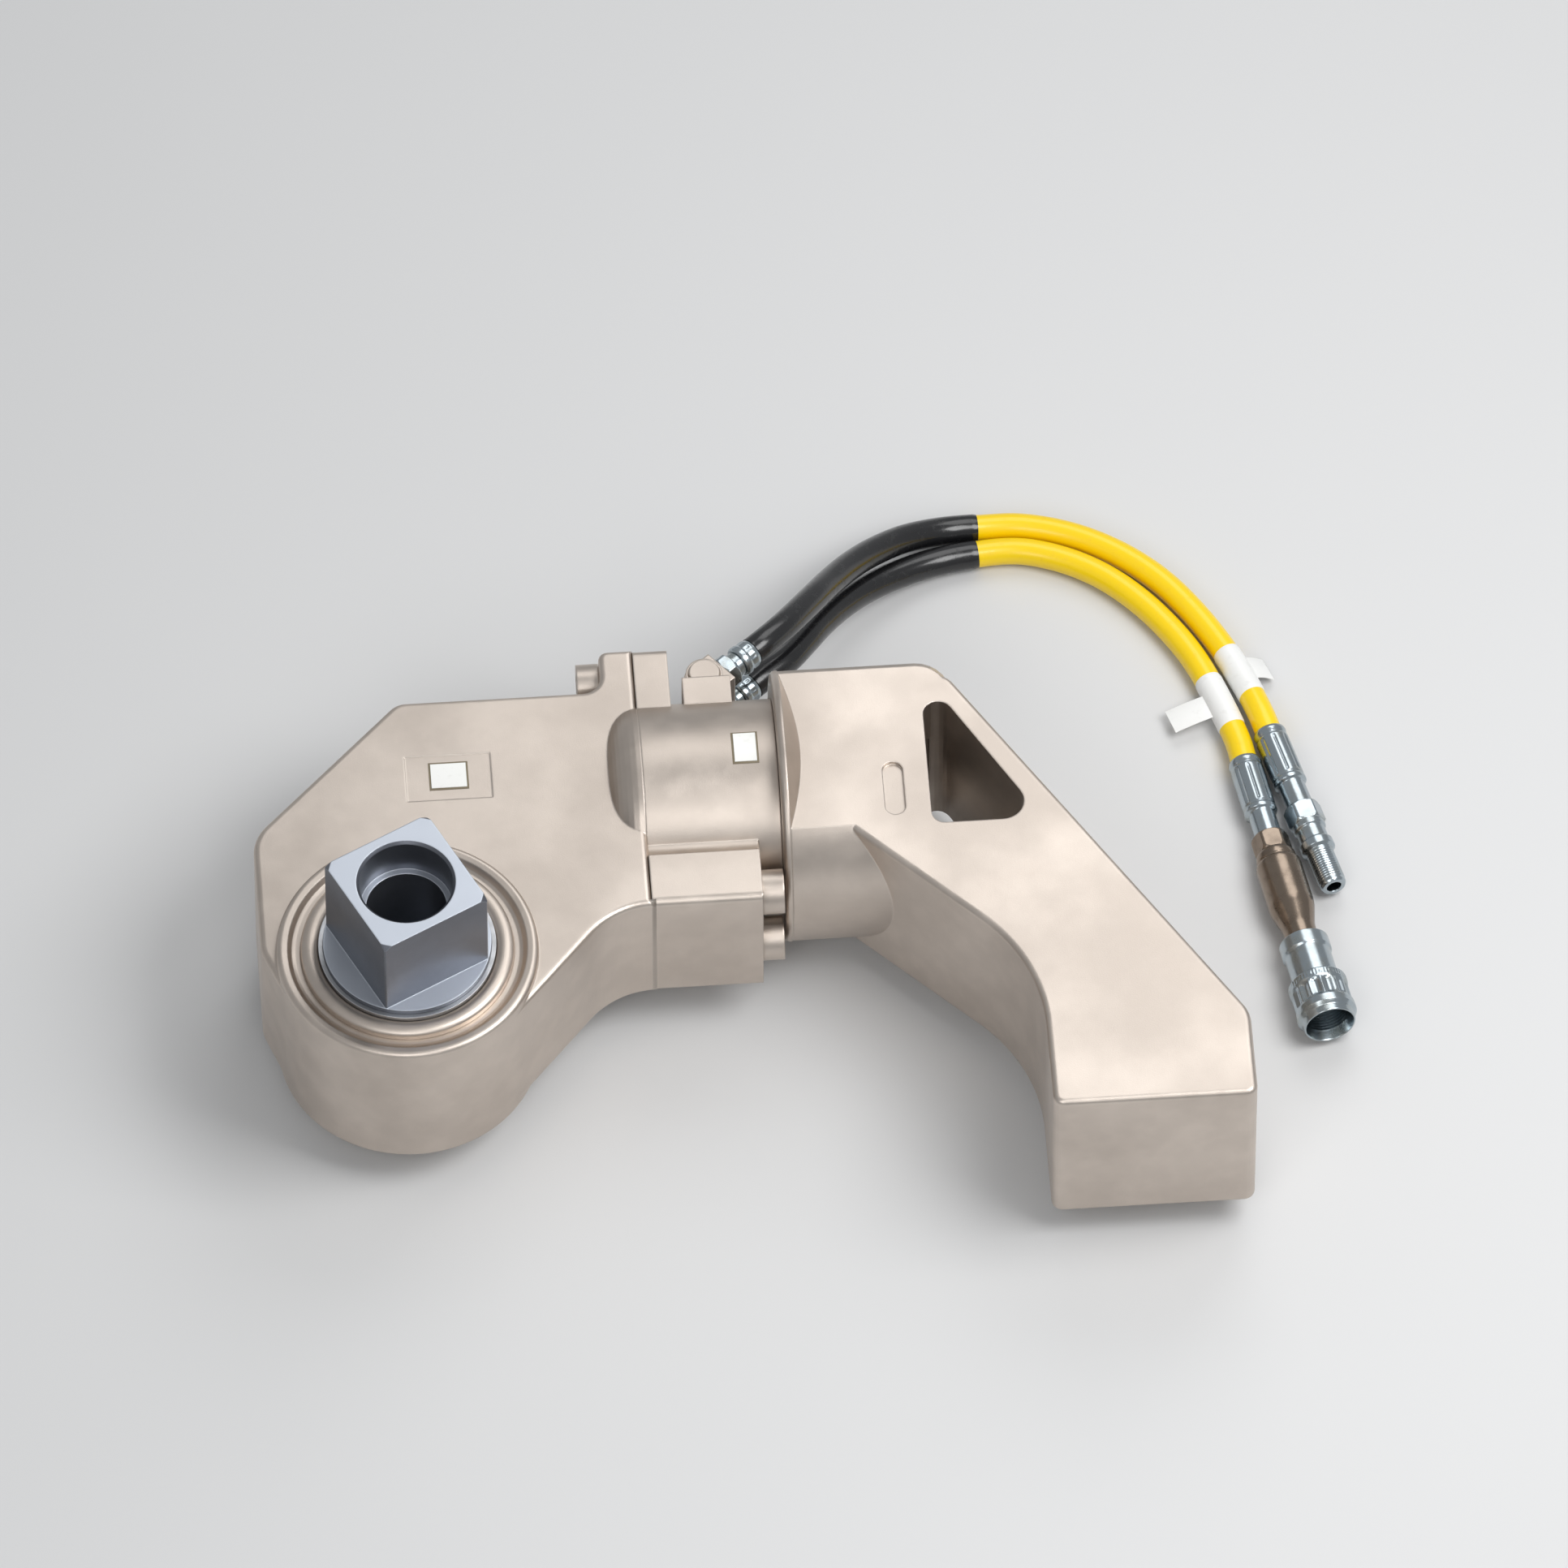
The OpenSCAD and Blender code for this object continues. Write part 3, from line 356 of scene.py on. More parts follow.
@dataclass(frozen=True)
class TurnedMetal:
    """Bright turned or plated metal with fine marks, slight stains and a painted highlight on its edges."""

    name: str
    colour: Colour
    stain: Colour
    roughness: float
    rounding: float = 0.0005
    marks: float = 0.05

    def make(self) -> bpy.types.Material:
        """Builds the material."""
        tree = ShaderTree(self.name)
        normal, edge = tree.edge(self.rounding)
        stain = tree.band(tree.noise(120.0, 3.0), 0.42, 0.75)
        marks = tree.noise(2200.0, 1.0)
        base = tree.mix(stain * 0.55, self.colour, self.stain)
        # Painted highlight: edges mixed towards near-white, as edges that catch the lamps
        colour = tree.mix((edge * 4.0).clamp() * 0.3, base, (0.92, 0.92, 0.92))
        rough = self.roughness + (marks - 0.5) * 0.10 + stain * 0.08
        bump = tree.node("ShaderNodeBump", Strength=self.marks, Distance=0.0002, Height=marks, Normal=normal)
        return tree.surface(Base_Color=colour, Roughness=rough, Metallic=1.0, Normal=bump)


@dataclass(frozen=True)
class Moulded:
    """Glossy moulded rubber or plastic with faint scuffs."""

    name: str
    colour: Colour
    scuff: Colour
    roughness: float
    coat: float = 0.25

    def make(self) -> bpy.types.Material:
        """Builds the material."""
        tree = ShaderTree(self.name)
        cloud = tree.noise(45.0, 3.0)
        scuff = tree.band(tree.noise(260.0, 3.0), 0.56, 0.74)
        fine = tree.noise(1800.0, 1.0)
        colour = tree.mix(scuff * 0.35 + (cloud - 0.5) * 0.25, self.colour, self.scuff)
        rough = self.roughness + scuff * 0.16 + (cloud - 0.5) * 0.10
        bump = tree.node("ShaderNodeBump", Strength=0.04, Distance=0.0003, Height=fine + cloud)
        return tree.surface(Base_Color=colour, Roughness=rough, Coat_Weight=self.coat, Coat_Roughness=0.12,
                            Normal=bump)


@dataclass
class Palette:
    """All finishes of the wrench, by record slot and by piece."""

    materials: dict[str, bpy.types.Material] = field(default_factory=dict)

    def build(self) -> None:
        """Makes every material once."""
        finishes = (
            # Nickel plate: base colour, darker random tone, and the painted highlight colour of its edges
            BlastedPlate(Slot.NICKEL.value, (0.66, 0.585, 0.52), (0.54, 0.475, 0.42), (0.82, 0.75, 0.68),
                         0.40),
            # Phosphate steel: a painted highlight on its edges and painted light on its top faces
            BlastedPlate(Slot.PHOSPHATE.value, (0.165, 0.175, 0.200), (0.120, 0.128, 0.150),
                         (0.50, 0.53, 0.58), 0.36, rounding=0.0009, grain=0.06, metallic=0.75,
                         painted_top_light=(0.58, 0.62, 0.69)),
            TurnedMetal(Slot.STEEL.value, (0.56, 0.57, 0.59), (0.42, 0.42, 0.43), 0.30),
            TurnedMetal(Slot.BRONZE.value, (0.72, 0.58, 0.42), (0.60, 0.46, 0.30), 0.30),
            TurnedMetal(Slot.ZINC.value, (0.42, 0.475, 0.51), (0.37, 0.385, 0.35), 0.20),
            TurnedMetal(Slot.COUPLER.value, (0.27, 0.215, 0.17), (0.17, 0.135, 0.105), 0.23),
            Moulded(Slot.RUBBER.value, (0.009, 0.009, 0.010), (0.022, 0.022, 0.023), 0.24, coat=0.3),
            Moulded(Slot.HOSE.value, (0.93, 0.64, 0.0), (0.86, 0.55, 0.008), 0.33),
            Moulded(Slot.SEAL.value, (0.05, 0.19, 0.09), (0.08, 0.22, 0.12), 0.45),
            Moulded(Trim.TAG.value, (0.84, 0.84, 0.82), (0.70, 0.69, 0.66), 0.42, coat=0.1),
            Moulded(Trim.PLATE.value, (0.86, 0.86, 0.83), (0.72, 0.71, 0.68), 0.30, coat=0.2),
            # Painted shadow: dark sheet that shows round the edge of each plate
            Moulded(Trim.PAINTED_SHADOW.value, (0.20, 0.165, 0.105), (0.14, 0.115, 0.08), 0.45, coat=0.0),
        )
        for finish in finishes:
            self.materials[finish.name] = finish.make()

    def dress(self, obj: bpy.types.Object, name: str) -> None:
        """Gives an object one finish.

        Args:
            obj: Mesh object.
            name: Name of the finish.
        """
        obj.data.materials.clear()
        obj.data.materials.append(self.materials[name])

    def part(self, name: str, rings: np.ndarray, finish: Slot | Trim, body: str,
             node: str = "") -> bpy.types.Object:
        """Makes a piece from rings, dresses it and ties it to its body.

        Args:
            name: Name of the piece.
            rings: Its surface.
            finish: Record slot, or a finish that only the scene has.
            body: Body that it rides on.
            node: CAD node that it stands for, if any.

        Returns:
            The piece.
        """
        obj = ring_mesh(name, rings)
        self.dress(obj, finish.value)
        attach(obj, body)
        if node:
            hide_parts(node)
        LOG.info("%s on %s", name, body)
        return obj

    def fitting(self, turned: "Turned", finish: Slot, body: str, node: str) -> bpy.types.Object:
        """Makes a turned fitting in place of a CAD node.

        Args:
            turned: The fitting.
            finish: Record slot.
            body: Body that it rides on.
            node: CAD node that it stands for.

        Returns:
            The piece.
        """
        return self.part(turned.name, turned.rings(), finish, body, node)


def quads(rows: int, columns: int) -> np.ndarray:
    """Faces of a grid whose columns close on themselves.

    Args:
        rows: Rings of the grid.
        columns: Points in a ring.

    Returns:
        Vertex numbers, four to a face, wound so that a ring that turns to the left has its faces outwards.
    """
    i = np.arange(rows - 1)[:, None]
    j = np.arange(columns)[None, :]
    k = (j + 1) % columns
    return np.stack([i * columns + j, i * columns + k, (i + 1) * columns + k, (i + 1) * columns + j],
                    axis=-1).reshape(-1, 4)


def ring_mesh(name: str, rings: np.ndarray) -> bpy.types.Object:
    """Mesh object through a stack of rings, with a flat cap on each end.

    Args:
        name: Name of the object.
        rings: Points as rows of rings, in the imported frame.

    Returns:
        The object, linked to the scene, with smooth faces.
    """
    rows, columns = rings.shape[:2]
    faces = quads(rows, columns).tolist()
    faces.append(np.arange(columns)[::-1].tolist())
    faces.append((np.arange(columns) + (rows - 1) * columns).tolist())
    mesh = bpy.data.meshes.new(name)
    mesh.from_pydata(rings.reshape(-1, 3).tolist(), [], faces)
    mesh.update()
    smooth_by_angle(mesh, SMOOTH_ANGLE)
    obj = bpy.data.objects.new(name, mesh)
    bpy.context.scene.collection.objects.link(obj)
    return obj


def smooth_by_angle(mesh: bpy.types.Mesh, degrees: float) -> None:
    """Shades a mesh smooth, with sharp edges where faces meet at more than an angle.

    Args:
        mesh: Mesh to shade.
        degrees: Largest angle that stays smooth.
    """
    mesh.polygons.foreach_set("use_smooth", np.ones(len(mesh.polygons), dtype=bool))
    mesh.set_sharp_from_angle(angle=math.radians(degrees))


def flow(points: np.ndarray, per_span: int) -> np.ndarray:
    """Smooth line through points.

    Each span is a cubic whose slope at a point is half the step between that point's neighbours.

    Args:
        points: Points of the route, one to a row.
        per_span: Samples on each span.

    Returns:
        The sampled line, both ends included.
    """
    padded = np.vstack([2 * points[0] - points[1], points, 2 * points[-1] - points[-2]])
    p0, p1, p2, p3 = (padded[i:len(padded) - 3 + i, None, :] for i in range(4))
    t = np.linspace(0.0, 1.0, per_span, endpoint=False)[None, :, None]
    line = 0.5 * (2 * p1 + (p2 - p0) * t + (2 * p0 - 5 * p1 + 4 * p2 - p3) * t**2
                  + (3 * p1 - p0 - 3 * p2 + p3) * t**3)
    return np.vstack([line.reshape(-1, 3), points[-1]])


def frames(line: np.ndarray) -> tuple[np.ndarray, np.ndarray]:
    """Level and upright directions across a line that is never upright itself.

    Args:
        line: Points of the line.

    Returns:
        For each point, the level unit vector to the left of the line and the unit vector above it.
    """
    along = np.gradient(line, axis=0)
    along /= np.linalg.norm(along, axis=1, keepdims=True)
    left = np.cross((0.0, 0.0, 1.0), along)
    left /= np.linalg.norm(left, axis=1, keepdims=True)
    return left, np.cross(along, left)


def sleeve(line: np.ndarray, radius: np.ndarray, sides: int = 40) -> np.ndarray:
    """Rings of a round tube: each point of the line plus its radius times (cos a, sin a) across the line.

    Args:
        line: Points of the centre line.
        radius: Radius at each point.
        sides: Points in a ring.

    Returns:
        Rings for ring_mesh.
    """
    left, up = frames(line)
    a = np.linspace(0.0, 2 * np.pi, sides, endpoint=False)[None, :, None]
    r = np.broadcast_to(radius, len(line))[:, None, None]
    return line[:, None, :] + r * (np.cos(a) * left[:, None, :] + np.sin(a) * up[:, None, :])


def strip(path: np.ndarray, across: np.ndarray, width: float, thick: float) -> np.ndarray:
    """Rings of a flat strip: a thin rectangle with its long side along across, carried along a path.

    Args:
        path: Points of the strip's middle line.
        across: Unit vector along the strip's width.
        width: Width of the strip.
        thick: Thickness of the strip.

    Returns:
        Rings for ring_mesh.
    """
    along = np.gradient(path, axis=0)
    along /= np.linalg.norm(along, axis=1, keepdims=True)
    normal = np.cross(along, across)
    normal /= np.linalg.norm(normal, axis=1, keepdims=True)
    u = np.array((-0.5, -0.49, 0.49, 0.5, 0.5, 0.49, -0.49, -0.5))[None, :, None] * width
    v = np.array((-0.3, -0.5, -0.5, -0.3, 0.3, 0.5, 0.5, 0.3))[None, :, None] * thick
    return path[:, None, :] + u * across + v * normal[:, None, :]


@dataclass(frozen=True)
class Flag:
    """Free end of a wrap tag: how far it reaches, to which side and how it droops."""

    side: float
    reach: float
    rise: float
    droop: float
    width: float = 15 * MM
    thick: float = 0.35 * MM
    root: float = 0.55
    bend: float = 1.6


@dataclass
class HoseLine:
    """One hose: its route, its guard and the blank wrap tag near its end."""

    name: str
    route: np.ndarray
    flag: Flag
    tag_from_end: tuple[float, float]
    hose_d: float = 14.6 * MM
    guard_d: float = 15.6 * MM
    guard_lip: float = 0.35 * MM
    guard_points: int = 9
    per_span: int = 12
    tag_rows: int = 25
    tag_lip: float = 0.1 * MM
    tag_thick: float = 0.42 * MM

    def line(self) -> np.ndarray:
        """Centre line of the hose."""
        return flow(self.route, self.per_span)

    def build(self, palette: Palette, fittings: list[bpy.types.Object]) -> None:
        """Args:
            palette: Finishes.
            fittings: Pieces at the two ends of the hose. Not used.
        """
        line = self.line()
        hose = palette.part(f"{self.name}_hose_tube", sleeve(line, np.full(len(line), self.hose_d / 2)),
                            Slot.HOSE, "swivel", f"{self.name}_hose")
        guard = palette.part(f"{self.name}_guard_sleeve", self.guard(line), Slot.RUBBER, "swivel",
                             f"{self.name}_guard")
        tags = self.tag(line, palette)

    def guard(self, line: np.ndarray) -> np.ndarray:
        """Guard over the first stretch, its far lip rounded.

        Args:
            line: Centre line of the hose.

        Returns:
            Rings of the guard.
        """
        part = line[:self.guard_points * self.per_span + 1]
        radius = np.full(len(part), self.guard_d / 2)
        radius[-1] -= self.guard_lip
        return sleeve(part, radius)

    def tag(self, line: np.ndarray, palette: Palette) -> list[bpy.types.Object]:
        """Wrap round the hose and the flag that stands off it.

        Args:
            line: Centre line of the hose.
            palette: Finishes.

        Returns:
            The wrap and the flag.
        """
        steps = np.linalg.norm(np.diff(line, axis=0), axis=1)
        left = np.concatenate([np.cumsum(steps[::-1])[::-1], [0.0]])
        place = np.linspace(self.tag_from_end[1], self.tag_from_end[0], self.tag_rows)
        middle = np.stack([np.interp(place, left[::-1], line[::-1, i]) for i in range(3)], axis=1)
        radius = np.full(self.tag_rows, self.hose_d / 2 + self.tag_thick)
        radius[[0, -1]] = self.hose_d / 2 + self.tag_lip
        wrap = palette.part(f"{self.name}_tag_wrap", sleeve(middle, radius), Trim.TAG, "swivel")
        out, up = frames(middle)
        at = self.tag_rows // 2
        along = np.cross(out[at], up[at])
        t = np.linspace(0.0, 1.0, 14)[:, None]
        path = (middle[at] + up[at] * self.flag.rise
                + out[at] * self.flag.side * (radius[at] * self.flag.root + t * self.flag.reach)
                - np.array((0.0, 0.0, 1.0)) * self.flag.droop * t**self.flag.bend)
        flag = palette.part(f"{self.name}_tag_flag", strip(path, along, self.flag.width, self.flag.thick),
                            Trim.TAG, "swivel")
        return [wrap, flag]


@dataclass(frozen=True)
class Axis:
    """Axis of a fitting, in millimetres and degrees: level, or rising a little."""

    start: tuple[float, float, float]
    heading: float
    rise: float = 0.0

    def along(self) -> np.ndarray:
        """Unit vector of the axis."""
        a, e = math.radians(self.heading), math.radians(self.rise)
        return np.array((math.cos(a) * math.cos(e), math.sin(a) * math.cos(e), math.sin(e)))

    def point(self, s: float) -> tuple[float, float, float]:
        """Point at a distance along the axis.

        Args:
            s: Distance from the start in millimetres.

        Returns:
            The point in millimetres.
        """
        return tuple(np.array(self.start) + s * self.along())

    def place(self, s: np.ndarray, radius: np.ndarray, turn: np.ndarray) -> np.ndarray:
        """Points round the axis: start plus s along it, plus radius times (cos turn, sin turn) across it.

        Args:
            s: Distance along the axis for each ring, in millimetres.
            radius: Radius of each point of each ring, in millimetres.
            turn: Angle of each point of a ring.

        Returns:
            Rings for ring_mesh, in metres.
        """
        a = math.radians(self.heading)
        along = self.along()
        left = np.array((-math.sin(a), math.cos(a), 0.0))
        up = np.cross(along, left)
        across = np.cos(turn)[:, None] * left + np.sin(turn)[:, None] * up
        middle = np.array(self.start) + s[:, None] * along
        rings = middle[:, None, :] + radius[:, :, None] * across[None, :, :]
        return rings * MM


@dataclass(frozen=True)
class Hex:
    """Six flats over a stretch of a turned fitting."""

    start: float
    end: float
    flats: float


@dataclass(frozen=True)
class Ribs:
    """Lengthwise grooves over a stretch of a turned fitting, on radii above a floor."""

    start: float
    end: float
    count: int
    depth: float
    above: float
    sharp: float
    fade: float = 1.2


@dataclass
class Turned:
    """A turned fitting: an outline of (distance, radius) carried round an axis, less flats and grooves."""

    name: str
    axis: Axis
    outline: list[tuple[float, float]]
    hexes: tuple[Hex, ...] = ()
    ribs: tuple[Ribs, ...] = ()
    sides: int = 96
    step: float = 0.9
    ease: float = 0.35
    ease_share: float = 0.45

    def eased(self) -> np.ndarray:
        """Outline with each corner replaced by a short curve, and no step longer than the given one.

        Returns:
            Rows of distance and radius.
        """
        p = np.array(self.outline, dtype=float)
        before, corner, after = p[:-2], p[1:-1], p[2:]
        back, ahead = before - corner, after - corner
        reach_back = np.minimum(self.ease / np.linalg.norm(back, axis=1), self.ease_share)[:, None]
        reach_ahead = np.minimum(self.ease / np.linalg.norm(ahead, axis=1), self.ease_share)[:, None]
        t = np.linspace(0.0, 1.0, 4)[None, :, None]
        a, c = (corner + back * reach_back)[:, None, :], (corner + ahead * reach_ahead)[:, None, :]
        curve = (1 - t)**2 * a + 2 * t * (1 - t) * corner[:, None, :] + t**2 * c
        full = np.vstack([p[:1], curve.reshape(-1, 2), p[-1:]])
        run = np.concatenate([[0.0], np.cumsum(np.linalg.norm(np.diff(full, axis=0), axis=1))])
        spots = np.union1d(np.arange(0.0, run[-1], self.step), run)
        return np.stack([np.interp(spots, run, full[:, 0]), np.interp(spots, run, full[:, 1])], axis=1)

    def rings(self) -> np.ndarray:
        """Surface of the fitting.

        On a hexagon the radius is the smaller of the outline's and half the flats over the cosine of the
        angle from the nearest flat's middle. A groove takes off its depth times a power of a cosine wave
        round the axis.

        Returns:
            Rings for ring_mesh.
        """
        s, r = self.eased().T
        turn = np.linspace(0.0, 2 * np.pi, self.sides, endpoint=False)
        radius = np.repeat(r[:, None], self.sides, axis=1)
        for cut in self.hexes:
            inside = (s >= cut.start) & (s <= cut.end)
            wedge = np.mod(turn, np.pi / 3) - np.pi / 6
            radius[inside] = np.minimum(radius[inside], cut.flats / 2 / np.cos(wedge))
        for cut in self.ribs:
            inside = (s >= cut.start) & (s <= cut.end) & (r >= cut.above)
            ends = np.clip(np.minimum(s - cut.start, cut.end - s) / cut.fade, 0, 1)
            wave = (0.5 + 0.5 * np.cos(cut.count * turn))**cut.sharp
            radius[inside] -= cut.depth * ends[inside, None] * wave
        return self.axis.place(s, radius, turn)


def crimped(name: str, axis: Axis, length: float = 53.0) -> Turned:
    """Crimped shell at the end of a hose: a rolled lip, eight press marks and a neck.

    Args:
        name: Name of the piece.
        axis: Axis that starts where the hose enters.
        length: Length to the end of the neck in millimetres.

    Returns:
        The fitting.
    """
    outline = [
        (0.0, 0.0), (0.0, 7.9), (0.8, 8.8), (2.4, 9.2), (4.2, 8.9), (5.4, 8.5), (6.6, 9.05), (32.0, 9.05),
        (33.2, 8.6), (34.2, 9.15), (36.2, 9.15), (37.4, 7.4), (length, 7.4), (length, 0.0),
    ]
    return Turned(name, axis, outline, ribs=(Ribs(6.8, 32.0, 8, 0.55, 8.6, 8.0),))


@dataclass
class HoseEnds:
    """Fittings at the far ends of both hoses and at the manifold."""

    front: Axis
    rear: Axis
    ports: tuple[Axis, Axis]
    ferrule: float = 53.0
    nut: float = 12.0
    body: float = 70.0
    overlap: float = 14.0
    collar: float = 62.0
    mouth: float = 40.0
    flats: float = 18.6

    def nut_outline(self) -> list[tuple[float, float]]:
        """Outline of the chamfered hexagon that follows the crimped shell on both hoses."""
        a = self.ferrule
        b = a + self.nut
        return [(a, 0.0), (a, 9.3), (a + 1.4, 10.5), (b - 1.4, 10.5), (b, 9.4)]

    def nut_flats(self) -> tuple[Hex]:
        """Flats of that hexagon, which end just short of the next step."""
        return (Hex(self.ferrule, self.ferrule + self.nut - 0.01, self.flats),)

    def coupler_body(self) -> Turned:
        """Coupler body: hexagon, bottle-shaped barrel, and the journal that the collar spins on."""
        b = self.ferrule + self.nut
        c = b + self.body
        outline = [
            *self.nut_outline(), (b, 9.8), (b + 1.6, 10.9), (b + 5.0, 11.1), (b + 5.6, 10.8), (b + 6.6, 10.8),
            (b + 7.4, 12.3), (b + 9.0, 12.6), (b + 36.0, 12.6), (b + 39.0, 12.2), (b + 48.0, 9.8),
            (b + 51.0, 9.2), (b + 54.0, 9.0), (c, 9.0), (c, 0.0),
        ]
        return Turned("coupler_barrel", self.front, outline, hexes=self.nut_flats(), ease=1.2)

    def coupler_collar(self) -> Turned:
        """Spin-on collar: ring, waist, castellated grip between two flanges and open threaded mouth."""
        a = self.ferrule + self.nut + self.body - self.overlap
        z = a + self.collar
        turns = np.arange(a + self.collar - self.mouth + 6.0, z - 6.0, 0.9)
        thread = [(float(v), 11.5 + 0.35 * (i % 2)) for i, v in enumerate(turns[::-1])]
        outline = [
            (a + 5.0, 9.06), (a + 5.0, 12.2), (a + 6.0, 13.7), (a + 13.6, 13.7), (a + 15.0, 12.7),
            (a + 32.4, 12.7), (a + 33.6, 15.3), (a + 34.6, 16.2), (a + 38.4, 16.2), (a + 39.2, 15.7),
            (a + 51.2, 15.7), (a + 52.0, 16.4), (a + 56.0, 16.4), (a + 57.2, 15.4), (a + 58.2, 14.5),
            (z - 0.6, 14.2), (z, 13.9), (z, 13.3), (z - 5.0, 11.9), *thread, (z - self.mouth, 11.5),
            (z - self.mouth, 0.5),
        ]
        ribs = (Ribs(a + 39.4, a + 51.0, 14, 1.5, 15.2, 0.7), Ribs(a + 34.4, a + 38.8, 56, 0.3, 15.6, 1.0))
        return Turned("coupler_sleeve", self.front, outline, ribs=ribs, sides=180, ease=0.25)

    def nipple(self) -> Turned:
        """Male nipple: hexagon, neck, thread and plain lead-in with a small bore."""
        a = self.ferrule
        b = a + self.nut
        turns = np.arange(b + 20.0, a + 51.0, 0.75)
        thread = [(float(v), 7.5 - 0.45 * (i % 2)) for i, v in enumerate(turns)]
        outline = [
            *self.nut_outline(), (b, 9.0), (b + 3.0, 9.0), (b + 4.0, 8.0), (b + 11.6, 8.0), (b + 12.8, 9.4),
            (b + 17.0, 9.4), (b + 18.6, 7.5), *thread, (a + 52.6, 7.2), (a + 54.0, 6.3), (a + 54.0, 4.2),
            (a + 53.4, 4.0), (a + 34.0, 4.0), (a + 34.0, 0.0),
        ]
        return Turned("nipple_shell", self.rear, outline, hexes=self.nut_flats(), ease=0.2)

    def adapter(self, name: str, axis: Axis) -> Turned:
        """Hexagon adapter screwed into the swivel block, with a short neck.

        Args:
            name: Name of the piece.
            axis: Axis that starts at the face of the block.

        Returns:
            The fitting.
        """
        outline = [
            (0.0, 0.0), (0.0, 8.8), (1.2, 10.0), (5.8, 10.0), (7.0, 8.8), (7.0, 7.4), (8.2, 7.0), (12.0, 7.0),
            (12.0, 0.0),
        ]
        return Turned(name, axis, outline, hexes=(Hex(0.0, 6.99, 17.6),))

    def shell(self, name: str, axis: Axis) -> Turned:
        """Short crimped shell between an adapter and its hose.

        Args:
            name: Name of the piece.
            axis: Axis that starts at the face of the block.

        Returns:
            The fitting.
        """
        outline = [
            (12.0, 0.0), (12.0, 8.0), (13.0, 8.75), (15.6, 8.75), (16.6, 8.2), (20.6, 8.2), (21.4, 7.9),
            (23.0, 7.4), (23.0, 0.0),
        ]
        return Turned(name, axis, outline, ribs=(Ribs(16.6, 21.0, 8, 0.3, 7.5, 6.0),))

    def build(self, palette: Palette) -> tuple[list[bpy.types.Object], list[bpy.types.Object]]:
        """Makes every fitting.

        Args:
            palette: Finishes.

        Returns:
            The pieces at the end of the front hose and those at the end of the rear hose.
        """
        for side, port in zip(("front", "rear"), self.ports):
            palette.fitting(self.adapter(f"{side}_adapter", port), Slot.ZINC, "swivel", "hose_adapters")
            palette.fitting(self.shell(f"{side}_port_shell", port), Slot.ZINC, "swivel", "manifold_ferrules")
        front = [
            palette.fitting(crimped("front_crimp", self.front), Slot.ZINC, "swivel", "end_ferrules"),
            palette.fitting(self.coupler_body(), Slot.COUPLER, "swivel", "coupler_body"),
        ]
        palette.fitting(self.coupler_collar(), Slot.ZINC, "coupler_collar", "coupler_collar")
        rear = [
            palette.fitting(crimped("rear_crimp", self.rear), Slot.ZINC, "swivel", "end_ferrules"),
            palette.fitting(self.nipple(), Slot.ZINC, "swivel", "male_nipple"),
        ]
        return front, rear


@dataclass(frozen=True)
class BlankPlates:
    """Two plates with nothing on them: one in the recess of the head, one on the crown of the barrel."""

    head_at: tuple[float, float, float] = (29.1, 113.6, 41.5)
    head_size: tuple[float, float] = (19.0, 15.5)
    barrel_at: tuple[float, float] = (188.0, 110.0)
    barrel_size: tuple[float, float] = (12.0, 18.0)
    barrel_r: float = 58.0
    rim: float = 1.1
    shadow_sheet_thick: float = 0.3
    face_thick: float = 0.7

    def build(self, palette: Palette) -> None:
        """Makes both plates, each on a slightly larger dark sheet that paints the shadow round its edge.

        Args:
            palette: Finishes.
        """
        # The first layer is a dark sheet a little larger than the plate: painted shadow round its edge
        layers = (("painted_shadow", Trim.PAINTED_SHADOW, self.rim, self.shadow_sheet_thick), ("face", Trim.PLATE, 0.0, self.face_thick))
        for name, finish, grow, thick in layers:
            palette.part(f"head_plate_{name}", self.head(grow, thick), finish, "housing")
            palette.part(f"barrel_plate_{name}", self.barrel(grow, thick), finish, "housing")

    def head(self, grow: float, thick: float) -> np.ndarray:
        """Flat plate on the floor of the recess.

        Args:
            grow: What is added on every side, in millimetres.
            thick: Thickness in millimetres.

        Returns:
            Rings of the plate.
        """
        x = self.head_at[0] + np.linspace(-0.5, 0.5, 8) * (self.head_size[0] + 2 * grow)
        y, z = self.head_at[1], self.head_at[2] + thick / 2
        path = np.stack([x, np.full(len(x), y), np.full(len(x), z)], axis=1)
        return strip(path * MM, np.array((0.0, 1.0, 0.0)), (self.head_size[1] + 2 * grow) * MM, thick * MM)

    def barrel(self, grow: float, thick: float) -> np.ndarray:
        """Plate bent round the barrel.

        Args:
            grow: What is added on every side, in millimetres.
            thick: Thickness in millimetres.

        Returns:
            Rings of the plate.
        """
        a = np.linspace(-0.5, 0.5, 16) * (self.barrel_size[1] + 2 * grow) / self.barrel_r
        r = self.barrel_r + thick / 2
        x, y = self.barrel_at
        path = np.stack([np.full(len(a), x), y + r * np.sin(a), r * np.cos(a)], axis=1)
        return strip(path * MM, np.array((1.0, 0.0, 0.0)), (self.barrel_size[0] + 2 * grow) * MM, thick * MM)


